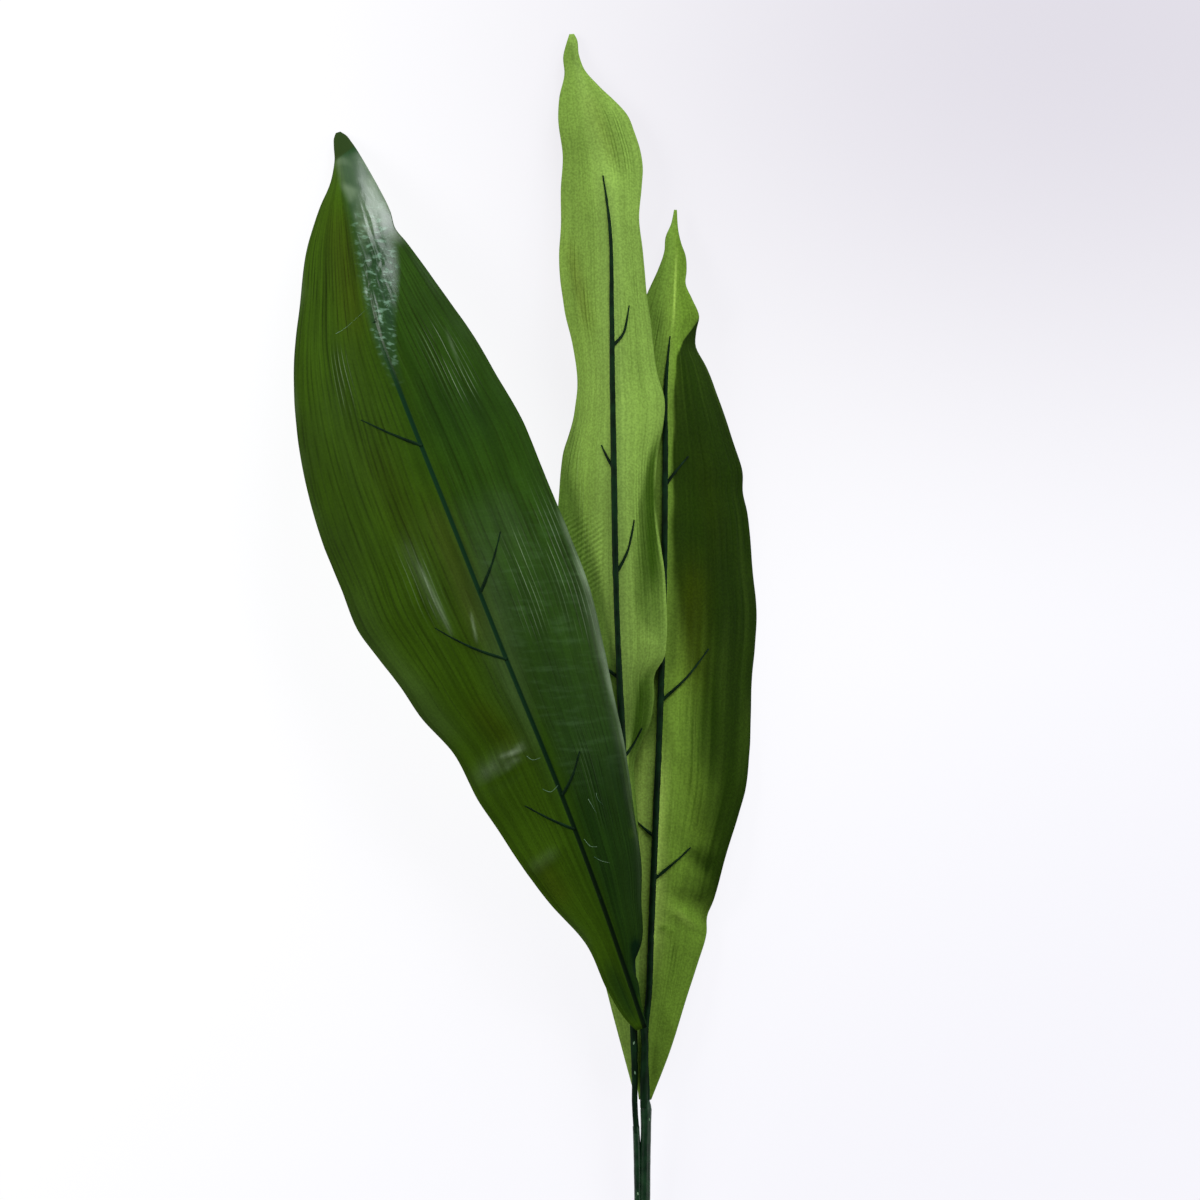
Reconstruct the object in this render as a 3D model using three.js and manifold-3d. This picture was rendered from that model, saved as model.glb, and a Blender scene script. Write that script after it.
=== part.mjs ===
// A spray of three aspidistra leaves on one moulded stem, laid down on a flat surface.
// Millimetres. +Z is up from the surface, +Y runs from the cut end of the stem towards the leaf tips.
// The first leaf lies on top with its glossy face up. The second and third lie below it with
// their paler backs and their raised ribs up. The spray rests on three low points: the cut end
// of the stem, the tip of the first leaf and the outer margin of the third.
import * as THREE from "three";
import { mergeVertices } from "three/addons/utils/BufferGeometryUtils.js";
import Module from "manifold-3d";

const wasm = await Module();
wasm.setup();

const bladeThickness = 0.7;
const seatGap = 0.3; // between a blade and the rib that carries it
const ribRadius = 1.5;
const spurRadius = 0.55;
const wireRadius = 0.5;
const boreRadius = 0.8; // the hole that a wire runs in
const jointGap = 0.35; // between the foot of a rib and the top of the stem

const bladeRows = 46;
const halfColumns = 5;
const tipCrowding = 1.25; // above 1, rows lie closer together towards the tip
const ribSides = 8;
const spurSides = 6;
const wireSides = 6;
const stemSides = 12;

const glossGreen = 0x2f5213;
const backGreen = 0x6f9a3c;
const ribGreen = 0x14301c;
const steelGrey = 0x8d9296;

// Each leaf is drawn in its own frame. "along" is the distance up the straight line from the
// foot of the blade to its tip, and offsets are measured from that line, positive to the left.
// Every list below holds [along, value] stations.
const leafSizes = [
  {
    name: "leaf_1",
    foot: [57.2, -149.5],
    lean: 18.6, // degrees to the left of +Y
    length: 475,
    ribFace: -1, // the rib is under the blade
    spine: [[0, -2.5], [60, -2.5], [126, -0.5], [200, 4], [275, 8], [340, 11.5], [375, 12.5],
      [400, 10], [425, 6.5], [450, 4], [475, 0.5]],
    crown: [[0, 21.8], [20, 26], [60, 37], [110, 50], [180, 62], [240, 68], [300, 66],
      [350, 58], [400, 43], [440, 25], [475, 0.4]],
    left: {
      reach: [[0, 2], [4, 4], [23, 9], [48, 11.5], [76, 23], [103, 31.5], [118, 35.2], [134, 39.6], [160, 44],
        [184, 54], [200, 58.2], [217, 64.2], [233, 69.5], [257, 71], [281, 72.5], [314, 71], [330, 68.5],
        [371, 57.5], [396, 46.5], [430, 29.5], [442, 20.5], [453, 11], [462, 6.2], [469, 4.4], [473, 3], [475, 1.5]],
      drop: [[0, 0.4], [50, 3], [130, 12], [230, 20], [300, 22], [370, 20], [430, 11],
        [462, 2], [475, 0.1]],
      roundness: 1.5,
      crease: [[0, 0], [475, 0]],
      ripples: [{ at: 48, spread: 14, lift: -2 }, { at: 100, spread: 16, lift: 3 },
        { at: 152, spread: 15, lift: -4 }, { at: 190, spread: 16, lift: 3 }],
    },
    right: {
      reach: [[0, 3.8], [14, 5], [24, 6.8], [29, 6.4], [42, 15], [62, 21.4], [75, 26],
        [110, 33], [135, 38], [162, 41], [189, 44.2], [217, 46.5], [249, 45.3], [275, 43.5],
        [309, 41.3], [332, 36.6], [359, 31], [380, 24.6], [401, 18.2], [411, 15], [419, 12], [427, 12.3],
        [441, 10.6], [457, 7.4], [468, 4.6], [472.5, 3], [475, 1]],
      drop: [[0, 0.3], [28, 1], [60, 5], [85, 8], [110, 10], [162, 11], [217, 14], [275, 18],
        [330, 17], [380, 12], [420, 6], [450, 3], [475, 0.1]],
      roundness: 2.2,
      crease: [[0, 0], [475, 0]],
      ripples: [{ at: 420, spread: 9, lift: 2 }],
    },
    ribEnd: 384,
    wireEnd: 250,
    petiole: [[60, -157.5, 18.6], [59.5, -172, 17.2], [59.35, -185.6, 16]],
    spurs: [
      [[311, 10], [322, 23], [333, 34.5]],
      [[197, 4], [208, 18], [223, 32.5]],
      [[106, -1], [115, 9], [125, 18.5]],
      [[233, 5], [245, -5], [258, -13.5]],
      [[124, -1], [132, -9], [142, -16]],
      [[377, 12], [378, 22], [377, 32]],
      [[378, 12], [384, 4], [386, -2.5]],
    ],
  },
  {
    name: "leaf_2",
    foot: [54.7, -178],
    lean: 3.44,
    length: 529,
    ribFace: 1,
    spine: [[0, 0], [30, -1.3], [110, -3.2], [171, -4.2], [244, -5.4], [315, -8.4], [343, -9.6],
      [388, -11.8], [430, -13.3], [456, -11.4], [480, -8], [507, -3.2], [529, 0.3]],
    crown: [[0, 13.8], [25, 15.5], [48, 17.2], [100, 26], [150, 35], [200, 44], [250, 49.5],
      [300, 49.5], [350, 43.5], [400, 34], [450, 22.5], [500, 9], [529, 1.8]],
    left: {
      reach: [[0, 1.5], [22, 6], [47, 11], [70, 15.2], [110, 22], [150, 28], [200, 31], [250, 27.5],
        [294, 20.6], [316, 17.1], [339, 9.5], [355, 7.2], [365, 7.6], [392, 12], [419, 13],
        [432, 11.3], [452, 10.1], [467, 8.2], [488, 9.3], [497, 8.2], [509, 4.8], [518, 4.9],
        [525, 2.7], [529, 1.2]],
      drop: [[0, 0.2], [50, 4], [100, 10], [200, 19], [300, 19], [355, 23], [420, 15], [460, 9],
        [490, 4], [515, 1], [529, 0.1]],
      roundness: 1.4,
      crease: [[0, 0], [529, 0]],
      ripples: [{ at: 395, spread: 16, lift: 2.5 }],
    },
    right: {
      reach: [[0, 1.5], [50, 5], [100, 8.5], [136, 9.3], [153, 8.8], [162, 9.4], [171, 13.3],
        [181, 18.4], [193, 21.1], [207, 22.9], [213, 27.2], [222, 29], [244, 30.3], [255, 30.2],
        [272, 28.8], [301, 28.9], [318, 31.1], [330, 33.9], [342, 35.2], [354, 32.5], [383, 30.5],
        [397, 29.4], [420, 28.7], [433, 28], [450, 30.6], [460, 31.7], [468, 31], [478, 28.6],
        [487, 25.4], [495, 18.8], [502, 12], [510, 5.6], [518, 3], [527, 2.2], [529, 1.2]],
      drop: [[0, 0.2], [50, 0.8], [100, 1.6], [136, 2.8], [171, 7], [207, 8], [235, 8.5],
        [256, 10], [300, 13], [341, 11], [384, 12], [420, 11], [450, 9], [470, 7], [490, 4.5],
        [512, 0.8], [529, 0.1]],
      roundness: 1.7,
      crease: [[0, 0], [529, 0]],
      ripples: [{ at: 318, spread: 12, lift: -1.5 }],
    },
    ribEnd: 456,
    wireEnd: 350,
    petiole: [[54.6, -186, 15.2], [54.9, -193, 14.5], [55.35, -199.1, 13.9]],
    spurs: [
      [[370, -11], [377, -17], [390, -20.2]],
      [[309, -8], [315, -5], [321, -2.7]],
      [[257, -6], [265, -11], [272, -13.7], [283, -16.4]],
      [[165, -4], [171, -9], [179, -13.9]],
      [[205, -4], [214, 6], [226, 15]],
      [[108, -3], [116, 5], [125, 12]],
    ],
  },
  {
    name: "leaf_3",
    foot: [62.1, -185.3],
    lean: -1.67,
    length: 447,
    ribFace: 1,
    spine: [[0, 1.5], [36, 3.1], [52, 2], [83, 1.7], [146, 1], [204, 0.4], [264, 0.5], [323, 1.6],
      [360, 2.3], [387, 0.8], [410, -0.1], [433, -0.2], [447, 0]],
    crown: [[0, 11], [50, 14], [120, 23], [200, 31], [260, 34], [320, 31.5], [360, 26],
      [390, 20], [420, 12.5], [447, 5.5]],
    left: {
      reach: [[0, 5.4], [10, 7], [32, 9.6], [55, 13.4], [100, 22], [150, 30], [200, 36], [250, 38],
        [300, 36], [350, 29], [390, 18], [405, 12.8], [417, 7.7], [426, 5], [433, 4.6],
        [440, 1.9], [447, 0.7]],
      drop: [[0, 0.2], [50, 3], [100, 8], [200, 14], [260, 16], [320, 15], [380, 8], [405, 3],
        [447, 0.1]],
      roundness: 1.5,
      crease: [[0, 0], [447, 0]],
      ripples: [],
    },
    right: {
      reach: [[0, 0.8], [23, 9], [52, 17.2], [70, 22.4], [84, 26], [92, 26.1], [101, 29],
        [126, 35.2], [144, 40.4], [159, 43.9], [176, 44.9], [210, 45.1], [248, 46.5], [266, 44.3],
        [297, 40.3], [306, 37.9], [316, 37.3], [331, 32.3], [353, 24.4], [369, 17.8], [379, 12.2],
        [386, 12.2], [394, 13.3], [402, 9.7], [410, 6.1], [416, 6.4], [424, 5.7], [430, 3.4],
        [437, 1.6], [447, 0.7]],
      drop: [[0, 0.2], [50, 2], [76, 8], [92, 9], [110, 9], [150, 19], [200, 28.8], [250, 33.6],
        [300, 31], [350, 24.5], [372, 19], [384, 12], [395, 2.5], [420, 1], [447, 0.1]],
      roundness: 1.25,
      crease: [[0, 0.1], [100, 0.25], [250, 0.14], [330, 0.14], [372, 0.3], [447, 0.1]],
      ripples: [{ at: 88, spread: 8, lift: -3 }],
    },
    ribEnd: 383,
    wireEnd: 290,
    petiole: [],
    spurs: [
      [[308, 1.3], [316, -4.1], [323, -9.6]],
      [[200, 0.4], [213, -12.3], [227, -22.4]],
      [[132, 1], [136, 6], [139.5, 10]],
      [[111, 1], [119, -8], [127.5, -16.6]],
      [[262, 0.5], [271, 9], [283, 15]],
    ],
  },
];

// The stem is two strands moulded side by side: [x, y, z] down the middle of each.
const thickStrand = {
  line: [[60.2, -186, 14.6], [60.2, -192, 13.8], [60.2, -198.5, 13.1], [60.05, -209.5, 12],
    [59.8, -234.5, 9.4], [59.5, -264.5, 6.4], [59.2, -294.5, 4.2], [59, -324.5, 2.9],
    [58.7, -350, 2.42]],
  halfWidth: [2.6, 2.6, 2.5, 2.5, 2.5, 2.5, 2.5, 2.5, 2.5],
  halfHeight: [3.3, 3, 2.6, 2.5, 2.5, 2.5, 2.5, 2.5, 2.5],
};
const thinStrand = {
  line: [[55.35, -199.5, 13.8], [55.85, -209.5, 12.4], [56.3, -234.5, 9.6], [56.3, -264.5, 6.6],
    [56.1, -294.5, 4.4], [55.9, -324.5, 3.1], [55.7, -350, 2.6]],
  radius: 1.75,
};
// Where each leaf's wire lies in the thick strand, above or below its middle.
const wireLift = { leaf_1: 1.1, leaf_3: -1.1 };

// A smooth curve through [place, value] stations, read at any place between them.
function through(stations) {
  const secant = stations.slice(1).map((next, i) =>
    (next[1] - stations[i][1]) / (next[0] - stations[i][0]));
  const slope = stations.map((station, i) => {
    if (i === 0) return secant[0];
    if (i === stations.length - 1) return secant[i - 1];
    const before = station[0] - stations[i - 1][0];
    const after = stations[i + 1][0] - station[0];
    return (secant[i - 1] * after + secant[i] * before) / (before + after);
  });
  return (place) => {
    let i = 0;
    while (i < stations.length - 2 && place > stations[i + 1][0]) i++;
    const width = stations[i + 1][0] - stations[i][0];
    const t = THREE.MathUtils.clamp((place - stations[i][0]) / width, 0, 1);
    const u = 1 - t;
    return stations[i][1] * u * u * (1 + 2 * t) + stations[i + 1][1] * t * t * (1 + 2 * u)
      + slope[i] * width * t * u * u - slope[i + 1] * width * t * t * u;
  };
}

function leafFrom(size) {
  const half = (side) => ({
    reach: through(side.reach),
    drop: through(side.drop),
    crease: through(side.crease),
    roundness: side.roundness,
    ripples: side.ripples,
  });
  return {
    ...size,
    spine: through(size.spine),
    crown: through(size.crown),
    left: half(size.left),
    right: half(size.right),
  };
}

// The middle of a blade's thickness at a place up the leaf. across is -1 at the left margin,
// 0 on the midrib and 1 at the right margin.
function bladePoint(leaf, along, across) {
  const side = across < 0 ? leaf.left : leaf.right;
  const share = Math.abs(across);
  const spine = leaf.spine(along);
  const margin = across < 0 ? side.reach(along) : -side.reach(along);
  const toLeft = spine + (margin - spine) * share;
  const crease = side.crease(along);
  const beyond = Math.max(0, (share - crease) / (1 - crease));
  let height = leaf.crown(along) - side.drop(along) * beyond ** side.roundness;
  for (const ripple of side.ripples)
    height += ripple.lift * share * share * Math.exp(-(((along - ripple.at) / ripple.spread) ** 2));
  const lean = THREE.MathUtils.degToRad(leaf.lean);
  return new THREE.Vector3(
    leaf.foot[0] - along * Math.sin(lean) - toLeft * Math.cos(lean),
    leaf.foot[1] + along * Math.cos(lean) - toLeft * Math.sin(lean),
    height,
  );
}

// The direction that a blade faces there, on its upper side.
function bladeNormal(leaf, along, across) {
  const step = 0.5;
  const low = Math.max(0, along - step);
  const high = Math.min(leaf.length, along + step);
  const left = Math.max(-1, across - 0.04);
  const right = Math.min(1, across + 0.04);
  const up = bladePoint(leaf, high, across).sub(bladePoint(leaf, low, across));
  const over = bladePoint(leaf, along, right).sub(bladePoint(leaf, along, left));
  return over.cross(up).normalize();
}

// A blade as a thin closed sheet: its upper face, its lower face and the rim between them.
function bladeGeometry(leaf) {
  const rowLength = 2 * halfColumns + 1;
  const layerSize = (bladeRows + 1) * rowLength;
  const positions = [];
  for (const layer of [1, -1])
    for (let row = 0; row <= bladeRows; row++)
      for (let column = 0; column < rowLength; column++) {
        const along = leaf.length * (1 - (1 - row / bladeRows) ** tipCrowding);
        const across = column / halfColumns - 1;
        const point = bladePoint(leaf, along, across)
          .addScaledVector(bladeNormal(leaf, along, across), (layer * bladeThickness) / 2);
        positions.push(point.x, point.y, point.z);
      }
  const upper = (row, column) => row * rowLength + column;
  const lower = (row, column) => layerSize + upper(row, column);
  const faces = [];
  const quad = (a, b, c, d) => faces.push(a, b, c, a, c, d);
  for (let row = 0; row < bladeRows; row++)
    for (let column = 0; column < rowLength - 1; column++) {
      quad(upper(row, column), upper(row, column + 1), upper(row + 1, column + 1),
        upper(row + 1, column));
      faces.push(lower(row, column), lower(row + 1, column + 1), lower(row, column + 1));
      faces.push(lower(row, column), lower(row + 1, column), lower(row + 1, column + 1));
    }
  const last = rowLength - 1;
  for (let column = 0; column < last; column++) {
    quad(lower(0, column), lower(0, column + 1), upper(0, column + 1), upper(0, column));
    quad(upper(bladeRows, column), upper(bladeRows, column + 1), lower(bladeRows, column + 1),
      lower(bladeRows, column));
  }
  for (let row = 0; row < bladeRows; row++) {
    quad(upper(row, 0), upper(row + 1, 0), lower(row + 1, 0), lower(row, 0));
    quad(lower(row, last), lower(row + 1, last), upper(row + 1, last), upper(row, last));
  }
  const geometry = new THREE.BufferGeometry();
  geometry.setAttribute("position", new THREE.Float32BufferAttribute(positions, 3));
  geometry.setIndex(faces);
  return geometry;
}

// A closed tube down a list of points, with its own half width and half height at each.
function tubeGeometry(points, halfWidths, halfHeights, sides) {
  const positions = [];
  const faces = [];
  const up = new THREE.Vector3(0, 0, 1);
  points.forEach((point, i) => {
    const ahead = points[Math.min(i + 1, points.length - 1)];
    const behind = points[Math.max(i - 1, 0)];
    const forward = ahead.clone().sub(behind).normalize();
    const sideways = up.clone().cross(forward).normalize();
    const upwards = forward.clone().cross(sideways);
    for (let k = 0; k < sides; k++) {
      const turn = ((k + 0.5) / sides) * 2 * Math.PI;
      const ring = point.clone()
        .addScaledVector(sideways, Math.cos(turn) * halfWidths[i])
        .addScaledVector(upwards, Math.sin(turn) * halfHeights[i]);
      positions.push(ring.x, ring.y, ring.z);
    }
  });
  const at = (i, k) => i * sides + (k % sides);
  for (let i = 0; i < points.length - 1; i++)
    for (let k = 0; k < sides; k++) {
      faces.push(at(i, k), at(i, k + 1), at(i + 1, k + 1));
      faces.push(at(i, k), at(i + 1, k + 1), at(i + 1, k));
    }
  const end = points.length - 1;
  for (let k = 1; k < sides - 1; k++) {
    faces.push(at(0, 0), at(0, k + 1), at(0, k));
    faces.push(at(end, 0), at(end, k), at(end, k + 1));
  }
  const geometry = new THREE.BufferGeometry();
  geometry.setAttribute("position", new THREE.Float32BufferAttribute(positions, 3));
  geometry.setIndex(faces);
  return geometry;
}

const fill = (count, value) => Array(count).fill(value);
const roundTube = (points, radius, sides) =>
  tubeGeometry(points, fill(points.length, radius), fill(points.length, radius), sides);

function solidOf(geometry) {
  const merged = mergeVertices(geometry, 1e-4);
  const solid = new wasm.Manifold(new wasm.Mesh({
    numProp: 3,
    vertProperties: new Float32Array(merged.attributes.position.array),
    triVerts: new Uint32Array(merged.index.array),
  }));
  if (solid.volume() < 0) throw new Error("a solid is inside out");
  return solid;
}

function geometryOf(solid) {
  const mesh = solid.getMesh();
  const geometry = new THREE.BufferGeometry();
  geometry.setAttribute("position", new THREE.BufferAttribute(mesh.vertProperties, 3));
  geometry.setIndex(new THREE.BufferAttribute(mesh.triVerts, 1));
  return geometry;
}

// A point held clear of the blade on its ribbed face, at an offset from the leaf's own line.
function pointOverBlade(leaf, along, toLeft, radius) {
  const spine = leaf.spine(along);
  const across = toLeft > spine
    ? -(toLeft - spine) / (leaf.left.reach(along) - spine)
    : (spine - toLeft) / (leaf.right.reach(along) + spine);
  const clear = bladeThickness / 2 + seatGap + radius;
  return bladePoint(leaf, along, across)
    .addScaledVector(bladeNormal(leaf, along, across), leaf.ribFace * clear);
}

// The rib keeps its full size up to here and then tapers to its end.
const taperStart = 0.62;
const ribEndRadius = 0.45;
function ribRadiusAt(leaf, along) {
  const share = THREE.MathUtils.clamp((along / leaf.ribEnd - taperStart) / (1 - taperStart), 0, 1);
  return ribRadius + (ribEndRadius - ribRadius) * share;
}

// The middle of a rib, from its foot on the stem to its end, and its radius at each point.
function ribLine(leaf) {
  const steps = 26;
  const points = leaf.petiole.map((p) => new THREE.Vector3(...p)).reverse();
  const radii = fill(points.length, ribRadius);
  const places = fill(points.length, 0);
  for (let i = 0; i <= steps; i++) {
    const along = (leaf.ribEnd * i) / steps;
    const radius = ribRadiusAt(leaf, along);
    points.push(pointOverBlade(leaf, along, leaf.spine(along), radius));
    radii.push(radius);
    places.push(along);
  }
  return { points, radii, places };
}

// The wire's way through the stem, from the cut end to the top of its strand.
function wireThroughStem(leaf) {
  const lift = wireLift[leaf.name] ?? 0;
  const line = leaf.name === "leaf_2" ? thinStrand.line : thickStrand.line;
  return line.slice(1).map(([x, y, z]) => new THREE.Vector3(x, y, z + lift)).reverse();
}

function wireLine(leaf, rib) {
  const inRib = rib.points.filter((_, i) => rib.places[i] <= leaf.wireEnd);
  return [...wireThroughStem(leaf), ...inRib];
}

// The bore runs a little past the wire's cut end, so that it opens there, and past its inner end.
function boreLine(wire) {
  const first = wire[0].clone().add(new THREE.Vector3(0, -2, 0));
  const end = wire[wire.length - 1];
  const beyond = end.clone().sub(wire[wire.length - 2]).setLength(seatGap).add(end);
  return [first, ...wire, beyond];
}

function spurSolid(leaf, stations) {
  const foot = stations[0];
  const stem = through(stations.map(([along, toLeft]) => [along, toLeft]));
  const rising = stations[stations.length - 1][0] - foot[0];
  const steps = 5;
  const points = [];
  const radii = [];
  for (let i = 0; i <= steps; i++) {
    const share = i / steps;
    const along = foot[0] + rising * share;
    const toLeft = rising > 2 ? stem(along)
      : THREE.MathUtils.lerp(foot[1], stations[stations.length - 1][1], share);
    const radius = spurRadius * (1 - 0.45 * share);
    const lift = share === 0 ? 0.5 : 0.3;
    points.push(pointOverBlade(leaf, along, toLeft, radius + lift));
    radii.push(radius);
  }
  return solidOf(tubeGeometry(points, radii, radii, spurSides));
}

function ribSolid(leaf, rib, bore) {
  let solid = solidOf(tubeGeometry(rib.points, rib.radii, rib.radii, ribSides));
  for (const spur of leaf.spurs) solid = solid.add(spurSolid(leaf, spur));
  return solid.subtract(bore);
}

function stemSolid(bores) {
  const thick = thickStrand.line.map((p) => new THREE.Vector3(...p));
  const thin = thinStrand.line.map((p) => new THREE.Vector3(...p));
  let solid = solidOf(tubeGeometry(thick, thickStrand.halfWidth, thickStrand.halfHeight, stemSides))
    .add(solidOf(roundTube(thin, thinStrand.radius, stemSides)));
  for (const bore of bores) solid = solid.subtract(bore);
  return solid;
}

const spray = new THREE.Group();

function addNode(name, geometry, color, roughness, metalness = 0) {
  const material = new THREE.MeshStandardMaterial({ color, roughness, metalness });
  const mesh = new THREE.Mesh(geometry, material);
  mesh.name = name;
  spray.add(mesh);
}

const bores = [];
for (const size of leafSizes) {
  const leaf = leafFrom(size);
  const rib = ribLine(leaf);
  const wire = wireLine(leaf, rib);
  const bore = solidOf(roundTube(boreLine(wire), boreRadius, wireSides));
  bores.push(bore);
  addNode(`${leaf.name}_blade`, bladeGeometry(leaf), leaf.ribFace < 0 ? glossGreen : backGreen, 0.5);
  addNode(`${leaf.name}_rib`, geometryOf(ribSolid(leaf, rib, bore)), ribGreen, 0.45);
  addNode(`${leaf.name}_wire`, roundTube(wire, wireRadius, wireSides), steelGrey, 0.35, 1);
}
addNode("stem", geometryOf(stemSolid(bores)), ribGreen, 0.4);

export default spray;
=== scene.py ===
import math
from functools import partial

import bmesh
import bpy
import numpy as np
from mathutils import Matrix


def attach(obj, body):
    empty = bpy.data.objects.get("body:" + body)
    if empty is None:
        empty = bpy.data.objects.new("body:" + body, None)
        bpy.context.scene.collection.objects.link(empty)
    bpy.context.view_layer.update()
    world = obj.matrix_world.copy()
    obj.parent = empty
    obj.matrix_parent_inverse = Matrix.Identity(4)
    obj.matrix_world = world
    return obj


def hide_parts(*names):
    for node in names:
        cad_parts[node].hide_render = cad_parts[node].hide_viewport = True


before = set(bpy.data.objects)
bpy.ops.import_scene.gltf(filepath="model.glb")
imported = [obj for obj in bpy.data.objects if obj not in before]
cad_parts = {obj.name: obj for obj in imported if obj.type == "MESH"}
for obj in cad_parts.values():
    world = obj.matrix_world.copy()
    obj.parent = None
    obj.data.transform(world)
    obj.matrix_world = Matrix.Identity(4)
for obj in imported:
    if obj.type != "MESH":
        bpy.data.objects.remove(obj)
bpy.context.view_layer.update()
print("frame loaded:", len(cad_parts), "nodes")

mm = 0.001  # the tables below are in millimetres

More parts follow.
